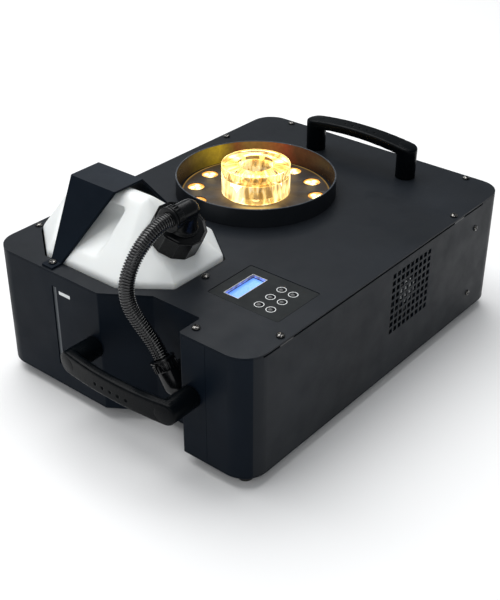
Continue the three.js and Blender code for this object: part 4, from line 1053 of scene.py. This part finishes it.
class FOG_OT_cap(Piece, Operator):
    """Models the twelve-sided screw cap"""

    bl_idname = "fog.cap"
    bl_label = "Cap"

    def execute(self, context):
        radius, height = 26.3 * MM, 21.5 * MM
        centre = (0, 0, CAP_ROOF - height / 2)
        cap = settle_place(added_cylinder("cap_shell", radius, height, centre, 12, (0, 0, CAP_PHASE)))
        with editing(cap, "DESELECT"):
            bpy.ops.mesh.select_mode(type="FACE")
            select_faces(cap, lambda centre, normal: normal.z > 0.9)
            bpy.ops.mesh.inset(thickness=0.0012, depth=0)
            bpy.ops.mesh.inset(thickness=0.0008, depth=-0.0011)
            bpy.ops.mesh.inset(thickness=0.0008, depth=0)
            bpy.ops.mesh.inset(thickness=0.0007, depth=0.0010)
            select_faces(cap, lambda centre, normal: normal.z < -0.9)
            bpy.ops.mesh.inset(thickness=0.0042, depth=0)
            bpy.ops.mesh.inset(thickness=0.0002, depth=-0.016)
        self.facets(cap)
        round_edges(cap, 0.0005, 2, 20)
        cap.data.transform(NECK_TURN)
        finish_piece(cap, "cap", [material("cap")], ["tank_cap"])
        return {"FINISHED"}

    def facets(self, cap):
        """Sinks the middle of each side facet a little, which leaves a rib along every corner."""
        with editing(cap, "DESELECT"):
            bpy.ops.mesh.select_mode(type="FACE")
            select_faces(cap, lambda centre, normal: abs(normal.z) < 0.2 and centre.xy.length > 0.024)
            bpy.ops.mesh.inset(thickness=0.0009, depth=-0.0005, use_individual=True)


class FOG_OT_elbows(Piece, Operator):
    """Models the two right-angled hose fittings"""

    bl_idname = "fog.elbows"
    bl_label = "Elbows"

    def execute(self, context):
        master = self.elbow()
        on_cap = copied(master, "cap_fitting", NECK_TURN @ Matrix.Translation((0, 0, CAP_ROOF)))
        finish_piece(on_cap, "case", [material("cap")], ["cap_elbow"])
        wall = Matrix.Translation(at(28.8, 93.5, 62.6))
        turn = Matrix.Rotation(math.pi - math.radians(33), 4, "X") @ Matrix.Rotation(-math.pi / 2, 4, "Y")
        in_notch = copied(master, "notch_fitting", wall @ turn)
        finish_piece(in_notch, "case", [material("gloss")], ["notch_elbow"])
        bpy.data.objects.remove(master)
        return {"FINISHED"}

    def elbow(self):
        """Stands on the XY plane, rises along Z and turns into a leg along -X."""
        rise, reach, radius = 20 * MM, 27 * MM, 9.9 * MM
        knee = dome(radius, rise, radius, 10)
        flare = millimetres((0, 0.4), (17.6, 0.4), (17.2, 1.4), (15.4, 2.4), (13.8, 5.5), (12.4, 10),
                            (11.0, 15))
        riser = revolve("riser", [*flare, (radius, 19 * MM), *knee[1:-1], (0, rise + radius)], steps=48)
        heel = [(across, rise - height) for across, height in reversed(knee[:-1])]
        leg = revolve("leg", [(0, -radius), *heel, (radius, reach - 2 * MM), (0, reach - 2 * MM)], steps=48)
        leg.data.transform(Matrix.Translation((0, 0, rise)) @ Matrix.Rotation(-math.pi / 2, 4, "Y"))
        body = joined([riser, leg], "elbow")
        merge_lumps(body, 0.6 * MM, 10)
        stem = added_cylinder("stem", 7.9 * MM, 9.2 * MM, (0, 0, -3.8 * MM), 32)
        round_edges(stem, 0.0004, 2, 35)
        collar = self.collar(rise, reach)
        return joined([body, stem, collar], "elbow")

    def collar(self, rise, reach):
        """The hose gland: two lips at its mouth and a slotted sleeve that runs into the leg."""
        lip, sleeve, inner, length = 12.1 * MM, 11.3 * MM, 7.55 * MM, 11 * MM
        lips = [(lip - back * MM, height * MM) for back, height in (
            (1.0, 0), (0.2, 0.3), (0, 0.9), (0.1, 1.6), (1.3, 2.0), (1.3, 2.9), (0.5, 3.3), (0.5, 4.1))]
        profile = [(inner, 0), *lips, (sleeve - 0.7 * MM, 4.6 * MM), (sleeve - 0.9 * MM, length),
                   (9.7 * MM, length + 1.2 * MM), (9.0 * MM, 8.4 * MM), (inner, 8.4 * MM)]
        ring = revolve("collar", profile, steps=56, closed=True)
        ribs = []
        for turn in turns(20):
            rib = added_box("rib", (sleeve - 1.6 * MM, -0.65 * MM, 4.2 * MM),
                            (sleeve + 0.1 * MM, 0.65 * MM, length))
            round_edges(rib, 0.3 * MM)
            rib.data.transform(Matrix.Rotation(turn, 4, "Z"))
            ribs.append(rib)
        whole = joined([ring, *ribs], "collar")
        whole.data.transform(Matrix.Translation((-reach, 0, rise)) @ Matrix.Rotation(math.pi / 2, 4, "Y"))
        return whole


# The route of the hose's middle line, in the drawing's millimetres.
HOSE_ROUTE = [
    (65.6, 140.9, 192.9),
    (56.5, 140.9, 192.9),
    (47, 141, 191.8),
    (36.5, 141.2, 188.4),
    (26.5, 141.3, 182.6),
    (17, 141.4, 174.8),
    (9, 141.4, 165),
    (3.5, 141.2, 153.5),
    (1, 139.6, 141.5),
    (1.2, 135.6, 129.6),
    (3.4, 129.4, 118.2),
    (6, 122.8, 107.6),
    (8.2, 116.6, 98),
    (8.8, 111.8, 90.8),
    (8.8, 108.2, 85.2),
    (8.8, 104.2, 79.1),
]


class FOG_OT_hose(Piece, Operator):
    """Models the corrugated hose from the cap to the notch"""

    bl_idname = "fog.hose"
    bl_label = "Hose"

    def execute(self, context):
        route = self.route()
        length = route.data.splines[0].calc_length()
        rings = round(length / sizes().hose_pitch)
        hose = self.ring(length / rings)
        modify(hose, "ARRAY", count=rings, use_merge_vertices=True, merge_threshold=1e-5)
        with editing(hose):
            bpy.ops.mesh.fill_holes(sides=0)
        hose.location = route.location
        modify(hose, "CURVE", object=route, deform_axis="POS_X")
        bpy.data.objects.remove(route)
        with editing(hose):
            bpy.ops.mesh.normals_make_consistent(inside=False)
        finish_piece(hose, "case", [material("hose")], ["tank_hose"], 42)
        return {"FINISHED"}

    def route(self):
        """The chosen points joined by a smooth curve."""
        curve = bpy.data.curves.new("route", "CURVE")
        curve.dimensions = "3D"
        spline = curve.splines.new("BEZIER")
        spline.bezier_points.add(len(HOSE_ROUTE) - 1)
        for point, spot in zip(spline.bezier_points, HOSE_ROUTE):
            point.co = at(*spot)
            point.handle_left_type = "AUTO"
            point.handle_right_type = "AUTO"
        curve.resolution_u = 24
        holder = bpy.data.objects.new("route", curve)
        bpy.context.scene.collection.objects.link(holder)
        bpy.context.view_layer.update()
        return holder

    def ring(self, pitch):
        """One ring of the hose along X, open at both ends."""
        crest = HOSE_RADIUS
        flank = crest - 0.2 * MM
        root = crest - sizes().hose_depth
        profile = ((0.0, root), (0.16, root), (0.30, flank), (0.42, crest), (0.66, crest),
                   (0.78, flank), (0.92, root), (1.0, root))
        ring = revolve("hose_rings", [(radius, share * pitch) for share, radius in profile], steps=28)
        ring.data.transform(Matrix.Rotation(math.pi / 2, 4, "Y"))
        return ring


class FOG_OT_bracket(Piece, Operator):
    """Dresses the folded strap over the tank"""

    bl_idname = "fog.bracket"
    bl_label = "Tank bracket"

    def execute(self, context):
        piece = cad_copy("tank_bracket", "tank_bracket_sheet")
        strip_edges(piece, 0.5 * MM, 3, 25)
        # The top faces take the lighter strap paint, a painted light, and the rest the side paint, a painted
        # shade; the edges take a painted highlight with worn chips
        paint_faces(piece, 2, lambda spot, normal: normal.z > 0.9 and spot.z > CASE_TOP + 0.01)
        paints = [material("side_painted_shade"), material("side_edge_wear_and_highlight"), material("strap")]
        finish_piece(piece, "case", paints, ["tank_bracket"], SHEET_ANGLE, True)
        return {"FINISHED"}


class FOG_OT_ring(Piece, Operator):
    """Models the upright light ring and its flange"""

    bl_idname = "fog.ring"
    bl_label = "Light ring"

    def execute(self, context):
        foot, rim = (corner.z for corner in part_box("light_ring"))
        centre = footprint("light_ring")
        flange_top = CASE_TOP - SEAT_DEPTH
        radius, wall = 85.0 * MM, 1.6 * MM
        inner = radius - wall
        flange_inner, flange_outer = inner - 9.4 * MM, radius + 7 * MM
        profile = [(flange_inner, foot), (flange_outer, foot), (flange_outer, flange_top),
                   (radius, flange_top), (radius, rim - 0.5 * MM), (radius - 0.25 * MM, rim - 0.1 * MM),
                   (radius - wall / 2, rim), (inner + 0.25 * MM, rim - 0.1 * MM), (inner, rim - 0.5 * MM),
                   (inner, flange_top), (flange_inner, flange_top)]
        ring = revolve("light_ring_wall", profile, centre, sizes().round_steps, closed=True)

        def inside(spot, normal):
            out = Vector((spot.x - centre.x, spot.y - centre.y, 0)).normalized()
            return spot.z > flange_top + 0.5 * MM and normal.dot(out) < -0.7

        def edge(spot, normal):
            return spot.z > rim - 0.6 * MM

        # The rim takes the edge paint, a painted highlight with worn chips
        paint_faces(ring, 1, inside)
        paint_faces(ring, 2, edge)
        paints = [material("ring_paint"), material("wall"), material("paint_edge_wear_and_highlight")]
        finish_piece(ring, "case", paints, ["light_ring"])
        return {"FINISHED"}


class FOG_OT_lights(Piece, Operator):
    """Models the black floor of the light ring and its twelve lit lenses"""

    bl_idname = "fog.lights"
    bl_label = "Lights"

    def execute(self, context):
        self.centre = middle("diffuser_ring")
        self.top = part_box("light_floor")[1].z
        self.floor()
        lens = self.lens()
        lenses = []
        middle_top = Matrix.Translation((self.centre.x, self.centre.y, self.top))
        for index, turn in enumerate(turns(LAMPS)):
            place = middle_top @ Matrix.Rotation(turn, 4, "Z") @ Matrix.Translation((LAMP_CIRCLE, 0, 0))
            lenses.append(copied(lens, f"lens_{index}", place))
        bpy.data.objects.remove(lens)
        whole = joined(lenses, "lit_lenses")
        paints = [material("lens"), material("wall")]
        finish_piece(whole, "case", paints, ["lens_array"], 60)
        self.lamps(context)
        return {"FINISHED"}

    def lamp_spot(self, turn, height):
        """The place over one of the lamps."""
        return Vector((self.centre.x + LAMP_CIRCLE * math.cos(turn),
                       self.centre.y + LAMP_CIRCLE * math.sin(turn), height))

    def floor(self):
        """A flat disc with a hole for the nozzle and one for each lens."""
        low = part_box("light_floor")[0].z
        bore, rim = 9.5 * MM, 79 * MM
        profile = [(bore, low), (rim, low), (rim, self.top), (bore, self.top)]
        disc = revolve("light_floor_disc", profile, (self.centre.x, self.centre.y, 0), sizes().round_steps,
                       closed=True)
        cutters = []
        for turn in turns(LAMPS):
            cutters.append(added_cylinder("hole", 9.25 * MM, 10 * MM, self.lamp_spot(turn, self.top), 40))
        cut(disc, joined(cutters, "holes"))
        round_edges(disc, 0.0003, 2, 40)
        finish_piece(disc, "case", [material("floor")], ["light_floor"])

    def lens(self):
        """Three domed lobes that meet in the middle of a shallow lit cup."""
        lobes = []
        radius, off_middle = 4.7 * MM, 3.9 * MM
        for turn in turns(3):
            spot = Vector((off_middle * math.cos(turn + 0.4), off_middle * math.sin(turn + 0.4), 0))
            bpy.ops.mesh.primitive_uv_sphere_add(segments=24, ring_count=12, radius=1)
            lobe = bpy.context.object
            lobe.scale = (radius, radius, 2.6 * MM)
            lobe.location = (spot.x, spot.y, -3.0 * MM)
            settle_place(lobe)
            self.heat(lobe, spot, radius, 0.0)
            lobes.append(lobe)
        bowl = millimetres((0, -5.2), (5.5, -5.0), (8.2, -2.2), (8.9, -0.9), (9.0, -1.1), (8.6, -2.6),
                           (5.8, -5.6), (0, -5.8))
        cup = revolve("cup", bowl, steps=32)
        self.heat(cup, Vector((0, 0, 0)), 9.0 * MM, 0.35)
        return joined([cup, *lobes], "lens")

    def heat(self, piece, centre, reach, start):
        """Stores how far each point lies from the hot middle, from 0 to 1."""
        layer = piece.data.attributes.new("lobe", "FLOAT", "POINT")
        for index, vertex in enumerate(piece.data.vertices):
            share = (Vector((vertex.co.x, vertex.co.y, 0)) - centre).length / reach
            layer.data[index].value = start + (1 - start) * min(1.0, share) ** 2.2

    def lamps(self, context):
        """Small warm lamps over the lenses, which light the ring and the acrylic."""
        for index, turn in enumerate(turns(LAMPS)):
            data = bpy.data.lights.new(f"led_{index}", "POINT")
            data.energy = 0.0035
            data.color = tuple(colours().lamp)
            data.shadow_soft_size = 6 * MM
            lamp = bpy.data.objects.new(f"led_{index}", data)
            context.scene.collection.objects.link(lamp)
            lamp.location = self.lamp_spot(turn, self.top + 7 * MM)


class FOG_OT_diffuser(Piece, Operator):
    """Models the clear acrylic ring and the glow below it"""

    bl_idname = "fog.diffuser"
    bl_label = "Diffuser"

    def execute(self, context):
        foot, top = (corner.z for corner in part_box("diffuser_ring"))
        centre = footprint("diffuser_ring")
        outer, bore = ACRYLIC_OUTER, ACRYLIC_BORE
        base = foot + 0.9 * MM
        edge, nick = 0.7 * MM, 0.1 * MM
        joint = acrylic_joint()
        profile = [(bore, base), (outer, base), (outer, joint - nick), (outer - nick, joint),
                   (outer, joint + nick), (outer, top - edge), (outer - edge * 0.35, top - edge * 0.3),
                   (outer - edge, top), (bore + edge, top), (bore + edge * 0.35, top - edge * 0.3),
                   (bore, top - edge)]
        ring = revolve("acrylic_ring", profile, centre, sizes().round_steps, closed=True)
        finish_piece(ring, "case", [material("acrylic")], ["diffuser_ring"], 50)
        inner_side, outer_side, glow_top = bore + 2 * MM, outer - 1 * MM, foot + 0.5 * MM
        strip = [(inner_side, foot), (outer_side, foot), (outer_side, glow_top), (inner_side, glow_top)]
        glow = revolve("acrylic_lamps", strip, centre, 64, closed=True)
        finish_piece(glow, "case", [material("glow")])
        return {"FINISHED"}


class FOG_OT_nozzle(Piece, Operator):
    """Models the brass fog nozzle"""

    bl_idname = "fog.nozzle"
    bl_label = "Nozzle"

    def execute(self, context):
        foot, tip = (corner.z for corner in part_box("nozzle"))
        seat = CASE_TOP - SEAT_DEPTH - 12 * MM
        profile = [(2.5 * MM, foot), (11 * MM, foot), (11 * MM, foot + 8 * MM), (6 * MM, foot + 8.5 * MM),
                   (6 * MM, seat), (8 * MM, seat), (8 * MM, tip - 4 * MM), (7.4 * MM, tip - 2.6 * MM),
                   (5.2 * MM, tip - 0.3 * MM), (4.7 * MM, tip), (3.4 * MM, tip), (2.5 * MM, tip - 1.4 * MM)]
        nozzle = revolve("nozzle_body", profile, footprint("nozzle"), 56, closed=True)
        round_edges(nozzle, 0.2 * MM, 2, 25)
        finish_piece(nozzle, "case", [material("brass")], ["nozzle"])
        return {"FINISHED"}


class FOG_OT_handles(Piece, Operator):
    """Models the two moulded bow handles"""

    bl_idname = "fog.handles"
    bl_label = "Handles"

    def execute(self, context):
        master = self.handle()
        centre = middle("top_handle")
        top = Matrix.Translation((centre.x, centre.y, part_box("top_handle")[0].z))
        self.place(master, "top_handle", top)
        centre = middle("front_handle")
        front = Matrix.Translation((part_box("front_handle")[1].x, centre.y, centre.z))
        self.place(master, "front_handle", front @ Matrix.Rotation(-math.pi / 2, 4, "Y"))
        bpy.data.objects.remove(master)
        return {"FINISHED"}

    def place(self, master, node, matrix):
        grip = copied(master, node + "_grip", matrix)
        finish_piece(grip, "case", [material("handle")], [node], 60)

    def rise(self, y):
        """Height of the middle of the grip at a distance from its centre."""
        return (BOW_FOOT + BOW_RISE * (1 - (y / BOW_HALF) ** 2)) * MM

    def handle(self):
        """Stands on the XY plane with its length along Y."""
        grip = self.grip()
        profile = millimetres((0, 0), (10.9, 0), (11.2, 0.4), (11.2, 1.6), (10.9, 2.4), (11.1, 28),
                              (11.1, 31), (0, 31))
        posts = [revolve("post", profile, (0, side * GRIP_END, 0), 56) for side in (-1, 1)]
        whole = joined([grip, *posts], "handle")
        merge_lumps(whole, sizes().handle_voxel, 3)
        self.dimples(whole)
        return self.caps(whole)

    def grip(self):
        """A round disc drawn out along Y, divided along its length, then arched."""
        bar = added_cylinder("grip", GRIP_RADIUS, GRIP_THICKNESS, (0, 0, 0), 56)
        for side in (-1, 1):
            with editing(bar, "DESELECT"):
                mesh = bmesh.from_edit_mesh(bar.data)
                bpy.ops.mesh.select_mode(type="VERT")
                for vertex in mesh.verts:
                    on_middle = abs(vertex.co.y) <= 1e-6
                    vertex.select_set(vertex.co.y * side > 1e-6 or (side > 0 and on_middle))
                mesh.select_flush_mode()
                bmesh.update_edit_mesh(bar.data)
                bpy.ops.transform.translate(value=(0, side * GRIP_END, 0))
        round_edges(bar, 1.6 * MM, 3, 60)
        for step in range(-8, 9):
            with editing(bar):
                bpy.ops.mesh.bisect(plane_co=(0, step * 7.2 * MM, 0), plane_no=(0, 1, 0))
        for vertex in bar.data.vertices:
            waist = 1.0 - 0.07 * max(0.0, 1 - (vertex.co.y / (60 * MM)) ** 2)
            vertex.co.x *= waist
            vertex.co.z += self.rise(vertex.co.y)
        return bar

    def dimples(self, whole):
        """Five small dents in a row across the middle of the grip."""
        dents = []
        for index in range(-2, 3):
            spot = index * 9.7 * MM
            bpy.ops.mesh.primitive_uv_sphere_add(segments=24, ring_count=14, radius=2.3 * MM,
                                                 location=(-1.5 * MM, spot, self.rise(spot) + 5.9 * MM))
            dents.append(bpy.context.object)
        cut(whole, joined(dents, "dents"))

    def caps(self, whole):
        """The oval covers over the fixing screws, each a shallow disc let into the grip."""
        pieces = [whole]
        for side in (-1, 1):
            spot = side * 60.0 * MM
            slope = math.atan(-2 * BOW_RISE * MM * spot / BOW_HALF ** 2)
            profile = [(0, 0.34 * MM), (0.93, 0.34 * MM), (0.99, 0.2 * MM), (1.0, 0), (1.0, -0.8 * MM),
                       (0, -0.8 * MM)]
            cover = revolve("cover", profile, steps=48)
            cover.scale = (8.2 * MM, 9.4 * MM, 1)
            cover.rotation_euler = (slope, 0, 0)
            cover.location = (0, spot, self.rise(spot) + 4.4 * MM)
            pieces.append(settle_place(cover))
        return joined(pieces, "handle")


class FOG_OT_panel(Piece, Operator):
    """Models the control panel, its display, print and buttons"""

    bl_idname = "fog.panel"
    bl_label = "Control panel"

    def execute(self, context):
        self.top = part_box("control_panel")[1].z
        film = strip_edges(cad_copy("control_panel", "control_film"), 0.3 * MM)
        # The film's rounded edges take the edge paint, a painted highlight with worn chips
        paints = [material("panel"), material("paint_edge_wear_and_highlight")]
        finish_piece(film, "case", paints, ["control_panel"], SHEET_ANGLE, True)
        self.display()
        self.print_marks()
        self.buttons()
        return {"FINISHED"}

    def display(self):
        """The display module: a bezel with its lit screen sunk below it."""
        low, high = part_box("display")
        module = added_box("display_module", low, high)
        with editing(module, "DESELECT"):
            bpy.ops.mesh.select_mode(type="FACE")
            select_faces(module, lambda centre, normal: normal.z > 0.9)
            bpy.ops.mesh.inset(thickness=0.0036, depth=0)
            bpy.ops.mesh.inset(thickness=0.0002, depth=-0.0022)
        screen_level = high.z - 1.6 * MM
        paint_faces(module, 1, lambda spot, normal: normal.z > 0.9 and spot.z < screen_level)
        finish_piece(module, "case", [material("panel"), material("screen")], ["display"])
        self.liner(high.z)

    def bore_through(self, piece, low, high, margin, level):
        """Opens a frame: cuts away all but a margin of a flat box that stands at a level."""
        deep = 10 * MM
        opening = added_box("opening", (low.x + margin, low.y + margin, level - deep),
                            (high.x - margin, high.y - margin, level + deep))
        cut(piece, opening)

    def liner(self, level):
        """The pale walls of the window, with the light that the screen throws on them from below painted on
        as glow.
        """
        low, high = at(75, 74.5, 0), at(116, 90.5, 0)
        wall = added_box("window_liner", (low.x, low.y, level - 1 * MM),
                         (high.x, high.y, self.top - 0.15 * MM))
        self.bore_through(wall, low, high, 0.3 * MM, level)
        finish_piece(wall, "case", [material("window_glow")])

    def print_marks(self):
        """White rings round the buttons and a white frame round the window."""
        foot, face = self.top - 0.02 * MM, self.top + 0.08 * MM
        inner, outer = 4.05 * MM, 4.7 * MM
        profile = [(inner, foot), (outer, foot), (outer, face), (inner, face)]
        marks = [revolve("ring", profile, footprint(f"button_{index}"), 48, closed=True)
                 for index in range(1, 7)]
        low, high = at(74.4, 73.9, 0), at(116.6, 91.1, 0)
        border = added_box("frame", (low.x, low.y, foot), (high.x, high.y, self.top + 0.09 * MM))
        self.bore_through(border, low, high, 0.4 * MM, self.top)
        marks.append(border)
        finish_piece(joined(marks, "panel_print"), "case", [material("ink")])

    def buttons(self):
        """Glossy domed keys on stems."""
        for index in range(1, 7):
            node = f"button_{index}"
            foot, top = (corner.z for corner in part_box(node))
            stem, radius, collar, crown = 1.6 * MM, 3.45 * MM, 4.4 * MM, 1.1 * MM
            flange = self.top - 1.7 * MM
            profile = [(0, foot), (stem, foot), (stem, flange - 1 * MM), (collar, flange - 1 * MM),
                       (collar, flange), (radius, flange), *dome(radius, top - crown, crown, 7)[:-1],
                       (0, top)]
            key = revolve(node + "_key", profile, footprint(node), 40)
            finish_piece(key, f"key_{index}", [material("key")], [node])


class FOG_OT_fan(Piece, Operator):
    """Dresses the cooling fan behind the grille"""

    bl_idname = "fog.fan"
    bl_label = "Fan"

    def execute(self, context):
        housing = cad_copy("fan_frame", "fan_housing", 0.0004)
        finish_piece(housing, "case", [material("plastic")], ["fan_frame"])
        rotor = cad_copy("fan_rotor", "fan_blades", 0.0003)
        finish_piece(rotor, "rotor", [material("gloss")], ["fan_rotor"])
        centre = middle("fan_rotor")
        label = revolve("fan_label", millimetres((0, 0), (13, 0), (13, 0.12), (0, 0.12)), steps=40)
        spot = Vector((centre.x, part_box("fan_rotor")[0].y, centre.z))
        label.data.transform(Matrix.Translation(spot) @ Matrix.Rotation(math.radians(90), 4, "X"))
        finish_piece(label, "rotor", [material("ink")])
        return {"FINISHED"}


class FOG_OT_sockets(Piece, Operator):
    """Dresses the mains inlet, switch and control sockets of the rear panel"""

    bl_idname = "fog.sockets"
    bl_label = "Sockets"

    def execute(self, context):
        for node in ("mains_inlet", "switch_frame", "switch_rocker", "dmx_in", "dmx_out"):
            piece = cad_copy(node, node + "_shell", 0.0004)
            if node == "switch_rocker":
                finish_piece(piece, "rocker", [material("plastic")], [node])
            else:
                finish_piece(piece, "case", [material("gloss")], [node])
        self.pins()
        self.flange_screws()
        return {"FINISHED"}

    def pins(self):
        """The flat pins of the inlet and the round ones of the control sockets."""
        inlet = middle("mains_inlet")
        pins = []
        for across, up in ((3, -7), (-3, 0), (3, 7)):
            low = Vector((CASE_END - 18.5 * MM, inlet.y + (across - 2.2) * MM, inlet.z + (up - 1.2) * MM))
            high = Vector((CASE_END - 3.9 * MM, inlet.y + (across + 2.2) * MM, inlet.z + (up + 1.2) * MM))
            pins.append(round_edges(added_box("pin", low, high), 0.0004, 2, 50))
        for node in ("dmx_in", "dmx_out"):
            centre = middle(node)
            for across, up in ((0, 3.5), (-3.5, -2), (3.5, -2)):
                spot = (CASE_END - 10.8 * MM, centre.y + across * MM, centre.z + up * MM)
                pin = added_cylinder("pin", 1.3 * MM, 10 * MM, spot, 16, (0, math.pi / 2, 0))
                pins.append(round_edges(pin, 0.0004, 2, 50))
        finish_piece(joined(pins, "contact_pins"), "case", [material("pin")])

    def flange_screws(self):
        """Small countersunk screws in the flanges of the inlet and sockets."""
        spots = []
        for node, across, up in (("mains_inlet", 0, 20), ("dmx_in", 10, 12), ("dmx_out", 10, 12)):
            centre = middle(node)
            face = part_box(node)[1].x
            for side in (-1, 1):
                spots.append((face, centre.y + side * across * MM, centre.z + side * up * MM))
        heads = []
        profile = millimetres((0, -1.5), (1.5, -1.5), (2.6, -0.2), (2.5, 0.15), (1.4, 0.35), (0, 0.4))
        for index, spot in enumerate(spots):
            head = revolve("head", profile, steps=24)
            for x, y in ((2.0 * MM, 0.35 * MM), (0.35 * MM, 2.0 * MM)):
                cut(head, added_box("slot", (-x, -y, -0.5 * MM), (x, y, 1 * MM)))
            turn = Matrix.Rotation(math.pi / 2, 4, "Y") @ Matrix.Rotation(0.6 * index, 4, "Z")
            head.data.transform(Matrix.Translation(spot) @ turn)
            heads.append(head)
        finish_piece(joined(heads, "flange_screws"), "case", [material("screw")])


class FOG_OT_inside(Piece, Operator):
    """Gives the pieces inside the case their finishes"""

    bl_idname = "fog.inside"
    bl_label = "Inside"

    def execute(self, context):
        finishes = {
            "tank_bulkhead": "zinc", "heater_cover": "zinc", "pump_bracket": "zinc",
            "heater_block": "aluminium", "thermostat": "gloss", "pump_body": "brass", "pump_coil": "gloss",
            "suction_hose": "tank", "dip_tube": "tank", "fluid_pipe": "copper", "led_board": "board",
            "control_board": "board", "power_board": "board",
        }
        for node, name in finishes.items():
            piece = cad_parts[node]
            piece.data.materials.clear()
            piece.data.materials.append(material(name))
        return {"FINISHED"}


OPERATORS = (
    FOG_OT_stage, FOG_OT_hose, FOG_OT_case, FOG_OT_screws, FOG_OT_feet, FOG_OT_tank, FOG_OT_cap,
    FOG_OT_elbows, FOG_OT_bracket, FOG_OT_ring, FOG_OT_lights, FOG_OT_diffuser, FOG_OT_nozzle,
    FOG_OT_handles, FOG_OT_panel, FOG_OT_fan, FOG_OT_sockets, FOG_OT_inside,
)


class FOG_PT_dressing(Panel):
    """Lists the fog machine's pieces"""

    bl_idname = "FOG_PT_dressing"
    bl_label = "Fog Machine"
    bl_space_type = "VIEW_3D"
    bl_region_type = "UI"
    bl_category = "Fog Machine"

    def draw(self, context):
        for group in (context.scene.fog_sizes, context.scene.fog_colours):
            column = self.layout.column()
            for name in group.__annotations__:
                column.prop(group, name)
        for operator in OPERATORS:
            self.layout.operator(operator.bl_idname)


CLASSES = (FogSizes, FogColours, *OPERATORS, FOG_PT_dressing)


def register():
    for each in CLASSES:
        bpy.utils.register_class(each)
    bpy.types.Scene.fog_sizes = PointerProperty(type=FogSizes)
    bpy.types.Scene.fog_colours = PointerProperty(type=FogColours)


def unregister():
    del bpy.types.Scene.fog_colours
    del bpy.types.Scene.fog_sizes
    for each in reversed(CLASSES):
        bpy.utils.unregister_class(each)


def main():
    register()
    for operator in OPERATORS:
        group, name = operator.bl_idname.split(".")
        getattr(getattr(bpy.ops, group), name)()


if __name__ == "__main__":
    main()
